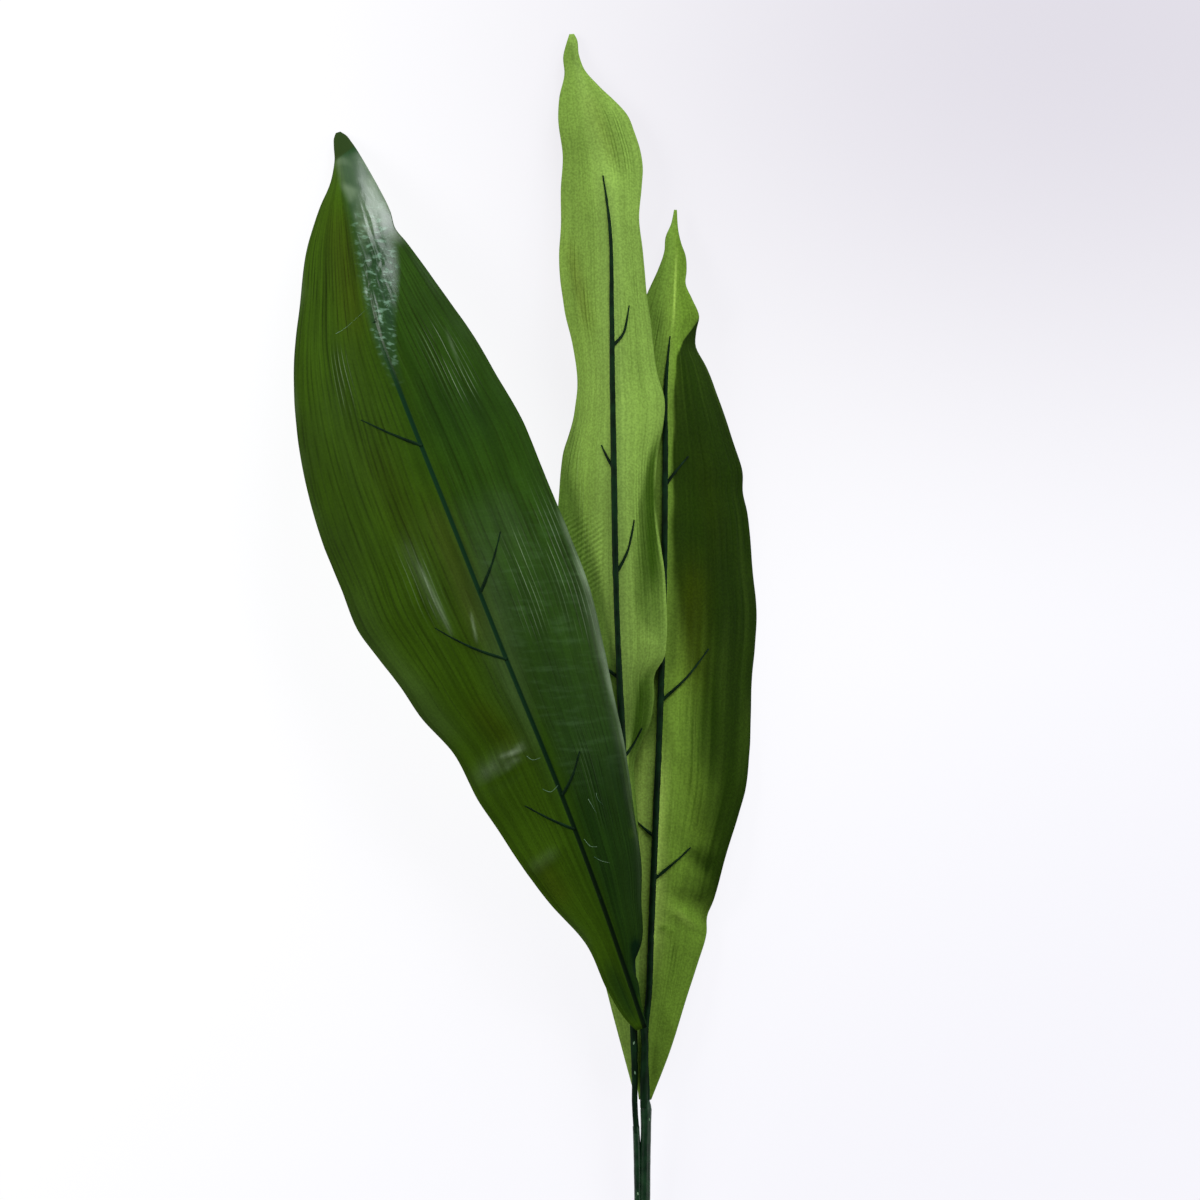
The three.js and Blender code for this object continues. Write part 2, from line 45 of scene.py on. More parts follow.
# Each leaf has its own frame: along is the distance from the foot of the blade towards its tip,
# and offsets are measured from that straight line, positive to the left.
leafOne = {
    "name": "leaf1", "node": "leaf_1", "foot": (57.2, -149.5), "lean": 18.6, "length": 475, "ribFace": -1,
    "spine": [[0, -2.5], [60, -2.5], [126, -0.5], [200, 4], [275, 8], [340, 11.5], [375, 12.5], [400, 10],
              [425, 6.5], [450, 4], [475, 0.5]],
    "crown": [[0, 21.8], [20, 26], [60, 37], [110, 50], [180, 62], [240, 68], [300, 66], [350, 58], [400, 43],
              [440, 25], [475, 0.4]],
    "left": {
        "reach": [[0, 2], [4, 4], [23, 9], [48, 11.5], [76, 23], [103, 31.5], [118, 35.2], [134, 39.6],
                  [160, 44], [184, 54], [200, 58.2], [217, 64.2], [233, 69.5], [257, 71], [281, 72.5],
                  [314, 71], [330, 68.5], [371, 57.5], [396, 46.5], [430, 29.5], [442, 20.5], [453, 11],
                  [462, 6.2], [469, 4.4], [473, 3], [475, 1.5]],
        "drop": [[0, 0.4], [50, 3], [130, 12], [230, 20], [300, 22], [370, 20], [430, 11], [462, 2],
                 [475, 0.1]],
        "roundness": 1.5,
        "ripples": [(48, 14, -2), (100, 16, 3), (152, 15, -4), (190, 16, 3)],
    },
    "right": {
        "reach": [[0, 3.8], [14, 5], [24, 6.8], [29, 6.4], [42, 15], [62, 21.4], [75, 26], [110, 33],
                  [135, 38], [162, 41], [189, 44.2], [217, 46.5], [249, 45.3], [275, 43.5], [309, 41.3],
                  [332, 36.6], [359, 31], [380, 24.6], [401, 18.2], [411, 15], [419, 12], [427, 12.3],
                  [441, 10.6], [457, 7.4], [468, 4.6], [472.5, 3], [475, 1]],
        "drop": [[0, 0.3], [28, 1], [60, 5], [85, 8], [110, 10], [162, 11], [217, 14], [275, 18], [330, 17],
                 [380, 12], [420, 6], [450, 3], [475, 0.1]],
        "roundness": 2.2,
        "ripples": [(420, 9, 2)],
    },
    "stalk": 1.85, "ribEnd": 384, "ribThickness": [[0, 1.5], [240, 1.5], [384, 0.5]],
    "petiole": [[59.2, -189, 15.7], [59.1, -185.6, 16], [59.2, -172, 17.2], [59.8, -157.5, 18.6]],
    "spurs": [
        [[311, 10], [322, 23], [333, 34.5]], [[197, 4], [208, 18], [223, 32.5]],
        [[106, -1], [115, 9], [125, 18.5]], [[233, 5], [245, -5], [258, -13.5]],
        [[124, -1], [132, -9], [142, -16]], [[377, 12], [378, 22], [377, 32]],
        [[378, 12], [384, 4], [386, -2.5]],
    ],
    # from (along, offset) to (along, offset), width, lift
    "puckers": [
        (146.4, 38.3, 154.7, 8.1, 3.4, 0.8), (154.4, 38.8, 163, 11.1, 4, -0.5),
        (137.7, 32.8, 143.7, 7, 2.2, -0.4), (151.7, 22.8, 151, 8.3, 0.9, 0.35),
        (92.7, 27.9, 101.1, 5.6, 2.6, 0.9), (87, 23.5, 93.3, 4.5, 2, -0.4), (264.8, 31.2, 216.4, 25.3, 2, 0.7),
        (264.5, 36.6, 216.7, 32.6, 4, -0.6), (225.8, 12.6, 209.7, 14.9, 1.6, 0.6),
        (366.5, 35.5, 337.4, 40, 1.6, 0.5), (409.5, -5.9, 388, 8.7, 1.3, 0.35),
        (421.9, 2.6, 405.7, 1.7, 1, 0.5), (419.3, 7.6, 397.2, 7.7, 1, 0.45),
        (406.4, 3.6, 389.6, 13.4, 1, -0.45), (412.5, -3.2, 400, 6.8, 0.9, 0.4),
        (393.4, 9, 372.9, 10.6, 1, 0.4), (389.6, 13.4, 371.5, 14.3, 0.9, -0.35),
        (80.6, -27.1, 110.9, -31, 3, -0.6), (298.9, 10.2, 249.8, 5.6, 5, 0.5),
        (438, 8.2, 391.9, 20.1, 1.8, -0.3),
    ],
    # from (along, offset) to (along, offset), width, and how much paler (above 0) or darker (below 0): painted
    # light and shade, that is painted highlights on puckers and ridges, painted shade in dents, folds and
    # hollows, and paint that lightens places left in cast shadow
    "paintedLightAndShade": [
        (445, 14, 400, 28, 12, -0.24), (400, 34, 320, 44, 20, -0.2), (352, -8, 290, -18, 20, -0.18),
        (256, 30, 216.4, 25.3, 0.9, 0.4), (269.8, 33.7, 214, 27, 5, 0.2), (224.9, 13, 209.7, 14.9, 0.7, 0.4),
        (142, 43, 152, 13, 8, 0.26), (146, 33, 149.5, 25, 2.6, 0.14), (151, 18, 155, 9, 1.6, 0.3),
        (146, 22, 149, 12, 1.2, 0.2), (152.2, 22.6, 151.5, 8.1, 0.9, 0.34), (93.4, 26.6, 99.6, 7.6, 5, 0.2),
        (43.6, -11.5, 27.5, -9.2, 2.4, -1), (366.5, 35.5, 337.4, 40, 1, 0.35),
        (96.7, -27.8, 93.2, -27.1, 1.2, 0.6), (136.9, 38.3, 141.7, 10.3, 2.4, -0.25),
        (362.7, -19.7, 329.4, -21.2, 1, 0.3), (17, -4.4, 6, -3.6, 0.8, 0.7), (2, 1, 40, 6, 7, -0.55),
    ],
    # where pale lines, dark lines and a rusty tint show: ends, width, strength
    "paleLines": [
        (367.6, -12.9, 325.3, -20.9, 7, 1), (267.1, -37.1, 191.2, -43.2, 10, 0.7),
        (370.2, 34.2, 335.3, 40.1, 4, 0.8), (269.7, 33.2, 226.2, 29.4, 7, 0.6),
        (257.4, -19.1, 200.8, -14.8, 6, 0.6), (151.7, -19.4, 100.2, -15.8, 5, 0.3),
    ],
    "darkLines": [
        (439.9, 21.8, 380, 38, 10, 1), (433.3, 11, 370, 24, 7, 1), (381.8, -9.8, 324.1, -8.8, 9, 0.9),
        (273.4, -34, 191.8, -41.3, 12, 1), (327.4, 32.3, 268.9, 30.8, 10, 0.35),
        (164.4, -28.9, 94.8, -16.1, 7, 0.8), (207.2, 20, 156.6, 10.6, 9, 0.35),
        (245.1, -8.6, 172.3, -5.2, 6, 0.4),
    ],
    "rust": [
        (285, 14, 207, 12, 7, 0.8), (183.5, 27.9, 149.5, 13, 7, 0.6), (96.5, 20.3, 71, 15.1, 6, 0.7),
        (439.8, 13.4, 370, 24, 8, 0.75), (322.3, 32.9, 257.8, 29.3, 9, 0.3), (115.6, 45.5, 90.2, 32.9, 5, 0.3),
    ],
    # rim: a painted highlight along each margin: from and to in mm along the leaf, and its strength
    "rim": {"right": (100, 260, 0.75), "left": (300, 420, 0.2)},
    # painted shade on the right half, where it turns from the light: where it begins, as a share of the half
    # width, and how dark it is
    "shadeEdge": 0, "shadeSoft": 0.3,
    "shadeDepth": [[0, 0.45], [120, 0.4], [150, 0.24], [185, 0.06], [240, 0], [300, 0.03], [475, 0.05]],
    "pleats": {"count": 17, "lift": 0.12, "seed": 11},
    "buckle": {"size": 34, "lift": 0.55, "seed": 5},
    "crackle": {"from": 352, "to": 448, "lift": 0.2, "size": 5, "seed": 21},
    "groove": -0.5,
}
leafTwo = {
    "name": "leaf2", "node": "leaf_2", "foot": (54.7, -178), "lean": 3.44, "length": 529, "ribFace": 1,
    "spine": [[0, 0], [30, -1.3], [110, -3.2], [171, -4.2], [244, -5.4], [315, -8.4], [343, -9.6],
              [388, -11.8], [430, -13.3], [456, -11.4], [480, -8], [507, -3.2], [529, 0.3]],
    "crown": [[0, 13.8], [25, 15.5], [48, 17.2], [100, 26], [150, 35], [200, 44], [250, 49.5], [300, 49.5],
              [350, 43.5], [400, 34], [450, 22.5], [500, 9], [529, 1.8]],
    "left": {
        "reach": [[0, 1.5], [22, 6], [47, 11], [70, 15.2], [110, 22], [150, 28], [200, 31], [250, 27.5],
                  [294, 20.6], [316, 17.1], [339, 9.5], [355, 7.2], [365, 7.6], [392, 12], [419, 13],
                  [432, 11.3], [452, 10.1], [467, 8.2], [488, 9.3], [497, 8.2], [509, 4.8], [518, 4.9],
                  [525, 2.7], [529, 1.2]],
        "drop": [[0, 0.2], [50, 4], [100, 10], [200, 19], [300, 19], [355, 23], [420, 15], [460, 9], [490, 4],
                 [515, 1], [529, 0.1]],
        "roundness": 1.4,
        "ripples": [(395, 16, 2.5)],
    },
    "right": {
        "reach": [[0, 1.5], [50, 5], [100, 8.5], [136, 9.3], [153, 8.8], [162, 9.4], [171, 13.3], [181, 18.4],
                  [193, 21.1], [207, 22.9], [213, 27.2], [222, 29], [244, 30.3], [255, 30.2], [272, 28.8],
                  [301, 28.9], [318, 31.1], [330, 33.9], [342, 35.2], [354, 32.5], [383, 30.5], [397, 29.4],
                  [420, 28.7], [433, 28], [450, 30.6], [460, 31.7], [468, 31], [478, 28.6], [487, 25.4],
                  [495, 18.8], [502, 12], [510, 5.6], [518, 3], [527, 2.2], [529, 1.2]],
        "drop": [[0, 0.2], [50, 0.8], [100, 1.6], [136, 2.8], [171, 7], [207, 8], [235, 8.5], [256, 10],
                 [300, 13], [341, 11], [384, 12], [420, 11], [450, 9], [470, 7], [490, 4.5], [512, 0.8],
                 [529, 0.1]],
        "roundness": 1.7,
        "ripples": [(318, 12, -1.5)],
    },
    "stalk": 1.45, "ribEnd": 456,
    "ribThickness": [[0, 1.4], [30, 1.95], [60, 1.85], [170, 1.75], [194, 1.7], [224, 1.35], [260, 1.5],
                     [313, 1.5], [343, 1.4], [368, 1.3], [412, 1], [430, 0.8], [456, 0.35]],
    "petiole": [[55.4, -202, 13.6], [55.35, -199.1, 13.9], [54.9, -193, 14.5], [54.6, -186, 15.2]],
    "spurs": [
        [[370, -11], [377, -17], [390, -20.2]], [[309, -8], [315, -5], [321, -2.7]],
        [[257, -6], [265, -11], [272, -13.7], [283, -16.4]], [[165, -4], [171, -9], [179, -13.9]],
        [[205, -4], [214, 6], [226, 15]], [[108, -3], [116, 5], [125, 12]],
    ],
    "puckers": [
        (424.7, 8, 379.2, -0.3, 2.2, 0.4), (497.9, -8.4, 457.8, -26, 2.4, 0.4),
        (317.5, -26.6, 242.7, -21.1, 5, -0.9), (222.6, -21.9, 218.7, -20.7, 6, 0.8),
        (330.2, 17.7, 294.8, 12.3, 2.6, 0.4), (453.1, -19.7, 427.8, -24.2, 3, 0.4),
        (369.3, 2.8, 334.2, 2.4, 4, 0.4),
    ],
    "paintedLightAndShade": [
        (455, -12, 529, 0, 34, -0.22), (318, -28, 250, -24, 4, -0.45), (222.6, -21.9, 217.7, -20.6, 5, 0.22),
        (210.5, -15.2, 170.8, -8.3, 6, -0.4), (514.4, 0.1, 526.6, 2.9, 2.5, -0.25),
        (493.8, -9.1, 447.7, -26.4, 6, -0.16), (419.6, 6.3, 379.2, -0.3, 4, -0.18),
    ],
    "paleLines": [
        (334.8, 11.4, 264.4, 6.6, 5, 0.5), (222.9, -15.9, 193, -14.1, 4, 0.3),
    ],
    "darkLines": [
        (427.2, 7.9, 376.7, -0.1, 4, 1), (503, -5, 455, -22, 7, 1), (339.8, 11.1, 294.9, 14.8, 4, 0.8),
        (317.5, -26.6, 242.6, -22.1, 7, 0.9), (488.4, -16.8, 463, -22.8, 5, 0.5),
        (474.3, -1, 429.1, -3.3, 5, 0.4), (422.8, -23.9, 332.7, -22.5, 7, 0.35),
        (223.2, -10.9, 173, -12.9, 6, 0.4),
    ],
    "rust": [
        (424.7, 8, 379.2, -0.3, 3.5, 0.9), (499, -6, 460, -18, 5, 0.6),
    ],
    # rim: a painted highlight along each margin: from and to in mm along the leaf, and its strength
    "rim": {"right": (230, 330, 0.9), "left": (60, 300, 0.2)},
    # painted shade on the right half, where it turns from the light: where it begins, as a share of the half
    # width, how soft its edge is and how dark it is
    "shadeEdge": [[0, 0.5], [160, 0.3], [200, 0.5], [218, 0.7], [236, 0.34], [257, 0.3], [283, 0.42],
                  [303, 0.62], [328, 0.88], [345, 1.2], [529, 1.2]],
    "shadeSoft": 0.2,
    "shadeDepth": [[0, 0.35], [60, 0.35], [160, 0.58], [200, 0.5], [220, 0.14], [236, 0.4], [300, 0.55],
                   [330, 0.45], [345, 0], [529, 0]],
    "pleats": {"count": 12, "lift": 0.12, "seed": 31},
    "buckle": {"size": 30, "lift": 0.4, "seed": 8},
    "groove": 0.25,
}
leafThree = {
    "name": "leaf3", "node": "leaf_3", "foot": (62.1, -185.3), "lean": -1.67, "length": 447, "ribFace": 1,
    "spine": [[0, 1.5], [36, 3.1], [52, 2], [83, 1.7], [146, 1], [204, 0.4], [264, 0.5], [323, 1.6],
              [360, 2.3], [387, 0.8], [410, -0.1], [433, -0.2], [447, 0]],
    "crown": [[0, 11], [50, 14], [120, 23], [200, 31], [260, 34], [320, 31.5], [360, 26], [390, 20],
              [420, 12.5], [447, 5.5]],
    "left": {
        "reach": [[0, 5.4], [10, 7], [32, 9.6], [55, 13.4], [100, 22], [150, 30], [200, 36], [250, 38],
                  [300, 36], [350, 29], [390, 18], [405, 12.8], [417, 7.7], [426, 5], [433, 4.6], [440, 1.9],
                  [447, 0.7]],
        "drop": [[0, 0.2], [50, 3], [100, 8], [200, 14], [260, 16], [320, 15], [380, 8], [405, 3], [447, 0.1]],
        "roundness": 1.5,
        "ripples": [],
    },
    "right": {
        "reach": [[0, 0.8], [23, 9], [52, 17.2], [70, 22.4], [84, 26], [92, 26.1], [101, 29], [126, 35.2],
                  [144, 40.4], [159, 43.9], [176, 44.9], [210, 45.1], [248, 46.5], [266, 44.3], [297, 40.3],
                  [306, 37.9], [316, 37.3], [331, 32.3], [353, 24.4], [369, 17.8], [379, 12.2], [386, 12.2],
                  [394, 13.3], [402, 9.7], [410, 6.1], [416, 6.4], [424, 5.7], [430, 3.4], [437, 1.6],
                  [447, 0.7]],
        "drop": [[0, 0.2], [50, 2], [76, 8], [92, 9], [110, 9], [150, 19], [200, 28.8], [250, 33.6], [300, 31],
                 [350, 24.5], [372, 19], [384, 12], [395, 2.5], [420, 1], [447, 0.1]],
        "roundness": 1.25,
        "crease": [[0, 0.1], [100, 0.25], [250, 0.14], [330, 0.14], [372, 0.3], [447, 0.1]],
        "ripples": [(88, 8, -3)],
    },
    "stalk": 1.7, "ribEnd": 383,
    "ribThickness": [[0, 1.7], [52, 1.6], [175, 1.6], [264, 1.5], [323, 1.4], [352, 1.1], [372, 0.7],
                     [383, 0.35]],
    "petiole": [[60.5, -188.5, 13]],
    "spurs": [
        [[308, 1.3], [316, -4.1], [323, -9.6]], [[200, 0.4], [213, -12.3], [227, -22.4]],
        [[132, 1], [136, 6], [139.5, 10]], [[111, 1], [119, -8], [127.5, -16.6]],
        [[262, 0.5], [271, 9], [283, 15]],
    ],
    "puckers": [
        (103.6, -7.1, 94.6, -26.4, 3.6, -1.6), (96, -8.3, 86, -24, 2.4, 1.1),
        (87.9, -1.5, 83.6, -10.7, 1.1, 0.6), (51, -5.6, 31.2, -12.2, 3, 0.5),
        (181.3, -14.8, 136.5, -21.1, 4, 0.6), (171.1, -7.6, 151.3, -15.7, 2.4, -0.4),
        (393.4, -13.1, 381.6, -4.5, 0.9, 0.9), (381.6, -4.5, 363, -2.5, 1, 0.5),
        (201, -3.2, 171.1, -8.1, 2, 0.35),
    ],
    "paintedLightAndShade": [
        (114, -11, 101, -26, 6, -0.36), (107, -10, 100.6, -25, 2.4, -0.2), (97.1, -8, 85, -22, 2.2, 0.3),
        (180, 4, 60, 6.5, 8, 1.5), (428, -1.2, 388, -0.6, 0.6, 0.5), (87.9, -1.5, 83.6, -10.7, 0.8, -0.5),
        (126.3, -16.4, 116.7, -27.7, 5, -0.4), (386.3, -12.3, 378.6, -5.6, 2.4, -0.5),
        (30.9, -2.2, 8.4, -1.9, 2, -0.3), (141.1, -7, 121.3, -16.6, 5, -0.25),
    ],
    "paleLines": [
        (316.4, -15.9, 251.7, -25.8, 5, 0.5), (191, -3.5, 121.1, -7.6, 4, 0.4),
        (231.3, -13.4, 171.4, -18.1, 4, 0.4),
    ],
    "darkLines": [
        (351.5, -17.9, 227, -39.5, 14, 0.8), (400.7, 10.6, 360.8, 5.4, 4, 0.7),
        (206.3, -14.1, 126.5, -21.4, 8, 0.6), (81.1, -8.7, 51.2, -13.6, 6, 0.5),
        (435.9, 1.6, 401, -1.4, 4, 0.4),
    ],
    "rust": [
        (272, -14, 200, -14, 8, 0.8), (331.4, -15.4, 271.7, -27.2, 6, 0.15),
        (171.3, -15.1, 126.5, -21.4, 6, 0.3),
    ],
    # rim: painted shade along the right margin: from and to in mm along the leaf, and its strength
    "rim": {"right": (110, 300, -0.2)},
    # painted shade on the right half, where it turns from the light: where it begins, as a share of the half
    # width, how soft its edge is and how dark it is
    "shadeEdge": [[0, 1.4], [78, 1.3], [90, 0.96], [104, 0.66], [125, 0.45], [160, 0.34], [200, 0.24],
                  [240, 0.11], [262, 0.06], [300, 0.07], [326, 0.07], [341, 0.12], [350, 0.14], [363, 0.17],
                  [375, 0.27], [380, 0.47], [386, 0.72], [393, 0.98], [398, 1.3], [447, 1.3]],
    "shadeSoft": [[0, 0.38], [200, 0.36], [240, 0.2], [270, 0.12], [447, 0.08]],
    "shadeDepth": [[0, 0], [70, 0], [85, 0.35], [110, 0.7], [160, 0.86], [200, 0.86], [300, 0.96],
                   [447, 0.96]],
    "pleats": {"count": 14, "lift": 0.09, "seed": 47},
    "buckle": {"size": 36, "lift": 0.5, "seed": 9},
    "groove": 0.25,
}
leaves = [leafOne, leafTwo, leafThree]

bladeMesh = {"rows": 240, "halfColumns": 54, "tipCrowding": 1.12, "midribCrowding": 1.3, "thickness": 0.5}
# in mm: how far from the rib pleats and buckles begin, where the pleats end, and the run-out at both ends
reliefShape = {"pleatsFrom": (1.5, 6), "pleatsEnd": (390, 420), "bucklesFrom": (2, 12),
               "waveletSize": 9, "waveletLift": 0.16, "grooveWidth": 1.1, "footFade": 14, "tipFade": 6}


def through(stations):  # a smooth curve through [place, value] stations; a lone number holds all along
    if isinstance(stations, (int, float)):
        stations = [[0, stations], [1, stations]]
    place, value = np.array(stations, float).T
    gap = np.diff(place)
    secant = np.diff(value) / gap
    slope = np.concatenate([secant[:1], np.zeros(len(place) - 2), secant[-1:]])
    slope[1:-1] = (secant[:-1] * gap[1:] + secant[1:] * gap[:-1]) / (gap[:-1] + gap[1:])

    def read(at):
        i = np.clip(np.searchsorted(place, at) - 1, 0, len(gap) - 1)
        t = np.clip((at - place[i]) / gap[i], 0, 1)
        u = 1 - t
        return (value[i] * u * u * (1 + 2 * t) + value[i + 1] * t * t * (1 + 2 * u)
                + slope[i] * gap[i] * t * u * u - slope[i + 1] * gap[i] * t * t * u)

    return read


for leaf in leaves:
    for key in ("spine", "crown", "ribThickness", "shadeEdge", "shadeSoft", "shadeDepth"):
        leaf[key] = through(leaf[key])
    for side in (leaf["left"], leaf["right"]):
        for key in ("reach", "drop", "crease"):
            side[key] = through(side.get(key, 0))


def addObject(name, data):
    thing = bpy.data.objects.new(name, data)
    bpy.context.scene.collection.objects.link(thing)
    return thing


def smoothStep(low, high, value):
    t = np.clip((value - low) / (high - low), 0, 1)
    return t * t * (3 - 2 * t)


def softNoise(x, y, seed):  # smooth random heights from -1 to 1, about one bump to a unit
    grid = np.random.default_rng(seed).uniform(-1, 1, (64, 64))
    column, row = np.floor(x).astype(int), np.floor(y).astype(int)
    u, v = smoothStep(0, 1, x - column), smoothStep(0, 1, y - row)
    low = grid[row % 64, column % 64] * (1 - u) + grid[row % 64, (column + 1) % 64] * u
    high = grid[(row + 1) % 64, column % 64] * (1 - u) + grid[(row + 1) % 64, (column + 1) % 64] * u
    return low * (1 - v) + high * v


def nearSegment(along, offset, segment):  # 1 on the segment, falling off over its width
    a, b = np.array(segment[0:2], float), np.array(segment[2:4], float)
    run = b - a
    t = np.clip(((along - a[0]) * run[0] + (offset - a[1]) * run[1]) / (run @ run), 0, 1)
    away = np.hypot(along - a[0] - run[0] * t, offset - a[1] - run[1] * t)
    return np.exp(-(away / segment[4]) ** 2) * (1 - 0.75 * np.abs(2 * t - 1) ** 3)


def markField(segments, along, offset):
    return sum((mark[5] * nearSegment(along, offset, mark) for mark in segments), along * 0)


def bladePoint(leaf, along, across):  # across: -1 left margin, 0 midrib, 1 right margin
    share, isLeft = np.abs(across), across < 0
    spine = leaf["spine"](along)
    margin = np.where(isLeft, leaf["left"]["reach"](along), -leaf["right"]["reach"](along))
    offset = spine + (margin - spine) * share
    height = leaf["crown"](along)
    for side, here in ((leaf["left"], isLeft), (leaf["right"], ~isLeft)):
        crease = side["crease"](along)
        beyond = np.clip((share - crease) / (1 - crease), 0, None)
        lift = -side["drop"](along) * beyond ** side["roundness"]
        for at, spread, rise in side["ripples"]:
            lift = lift + rise * share ** 2 * np.exp(-((along - at) / spread) ** 2)
        height = height + np.where(here, lift, 0)
    lean = math.radians(leaf["lean"])
    x = leaf["foot"][0] - along * math.sin(lean) - offset * math.cos(lean)
    y = leaf["foot"][1] + along * math.cos(lean) - offset * math.sin(lean)
    return np.stack([x, y, height], -1), offset


def bladeNormal(leaf, along, across):
    up = (bladePoint(leaf, np.minimum(along + 0.5, leaf["length"]), across)[0]
          - bladePoint(leaf, np.maximum(along - 0.5, 0), across)[0])
    over = (bladePoint(leaf, along, np.minimum(across + 0.04, 1))[0]
            - bladePoint(leaf, along, np.maximum(across - 0.04, -1))[0])
    normal = np.cross(over, up)
    return normal / np.linalg.norm(normal, axis=-1, keepdims=True)


def bladeRelief(leaf, along, offset, across):  # pleats, puckers and buckles, in mm off the smooth blade
    share = np.abs(across)
    fromRib = np.abs(offset - leaf["spine"](along))
    pleats, buckle = leaf["pleats"], leaf["buckle"]
    seed = pleats["seed"]
    drift = 0.5 * softNoise(along / 70, across * 2.5 + 9, seed)
    patch = markField(leaf["paleLines"] + leaf["darkLines"], along, offset)
    relief = pleats["lift"] * np.sin(2 * math.pi * (share * pleats["count"] + drift)) * (0.22 + patch)
    relief = relief * smoothStep(*reliefShape["pleatsFrom"], fromRib)
    relief = relief * (1 - smoothStep(*reliefShape["pleatsEnd"], along))
    size = buckle["size"]
    wavy = buckle["lift"] * softNoise(along / size, offset / size + 7, buckle["seed"])
    relief = relief + wavy * smoothStep(*reliefShape["bucklesFrom"], fromRib)
    size = reliefShape["waveletSize"]
    relief = relief + reliefShape["waveletLift"] * softNoise(along / size, offset / size + 7, buckle["seed"] + 3)
    if "crackle" in leaf:
        crackle = leaf["crackle"]
        size = crackle["size"]
        folds = 1 - 2 * np.abs(softNoise(along / size, offset / size * 1.3 + 5, crackle["seed"]))
        finer = softNoise(along / size * 2.1, offset / size * 2.4, crackle["seed"] + 1)
        folds = folds + 0.5 * (1 - 2 * np.abs(finer))
        zone = smoothStep(crackle["from"], crackle["from"] + 30, along)
        zone = zone * (1 - smoothStep(crackle["to"] - 12, crackle["to"], along))
        zone = zone * (1 - smoothStep(5, 14, np.abs(offset - leaf["spine"](along) + 2)))
        relief = relief + crackle["lift"] * zone * folds
    relief = relief + markField(leaf["puckers"], along, offset)
    groove = leaf["groove"] * np.exp(-(fromRib / reliefShape["grooveWidth"]) ** 2)
    relief = relief + groove * (along < leaf["ribEnd"] + 30)
    relief = relief * smoothStep(0, reliefShape["footFade"], along)
    return relief * smoothStep(0, reliefShape["tipFade"], leaf["length"] - along)


def bladeToneAndPaintedLight(leaf, along, offset, across):
    share = np.abs(across)
    # a random tone, on which painted light and shade are laid
    toneAndPaintedLight = 0.16 * softNoise(along / 45, across * 2 + 5, leaf["pleats"]["seed"] + 7)
    # painted highlights and painted shade from the marks
    toneAndPaintedLight = toneAndPaintedLight + markField(leaf["paintedLightAndShade"], along, offset)
    # painted shade on the part of the right half that turns from the light
    edge = leaf["shadeEdge"](along) + 0.02 * softNoise(along / 16, across * 0 + 2, 77)
    soft = leaf["shadeSoft"](along)
    toneAndPaintedLight = toneAndPaintedLight - leaf["shadeDepth"](along) * smoothStep(edge - 0.3 * soft - 0.01, edge + soft, across)
    toneAndPaintedLight = toneAndPaintedLight * (1 + 0.16 * softNoise(share * 26, along / 60, 31))
    # a painted highlight along the margin, or painted shade where the strength is below 0
    for side, reach in leaf["rim"].items():
        here = (across < 0) if side == "left" else (across > 0)
        run = smoothStep(reach[0] - 25, reach[0] + 25, along)
        run = run * (1 - smoothStep(reach[1] - 25, reach[1] + 25, along))
        uneven = 0.75 + 0.5 * softNoise(along / 14, along * 0 + 4, leaf["pleats"]["seed"])
        toneAndPaintedLight = toneAndPaintedLight + here * run * uneven * reach[2] * smoothStep(0.9, 1, share)
    return toneAndPaintedLight


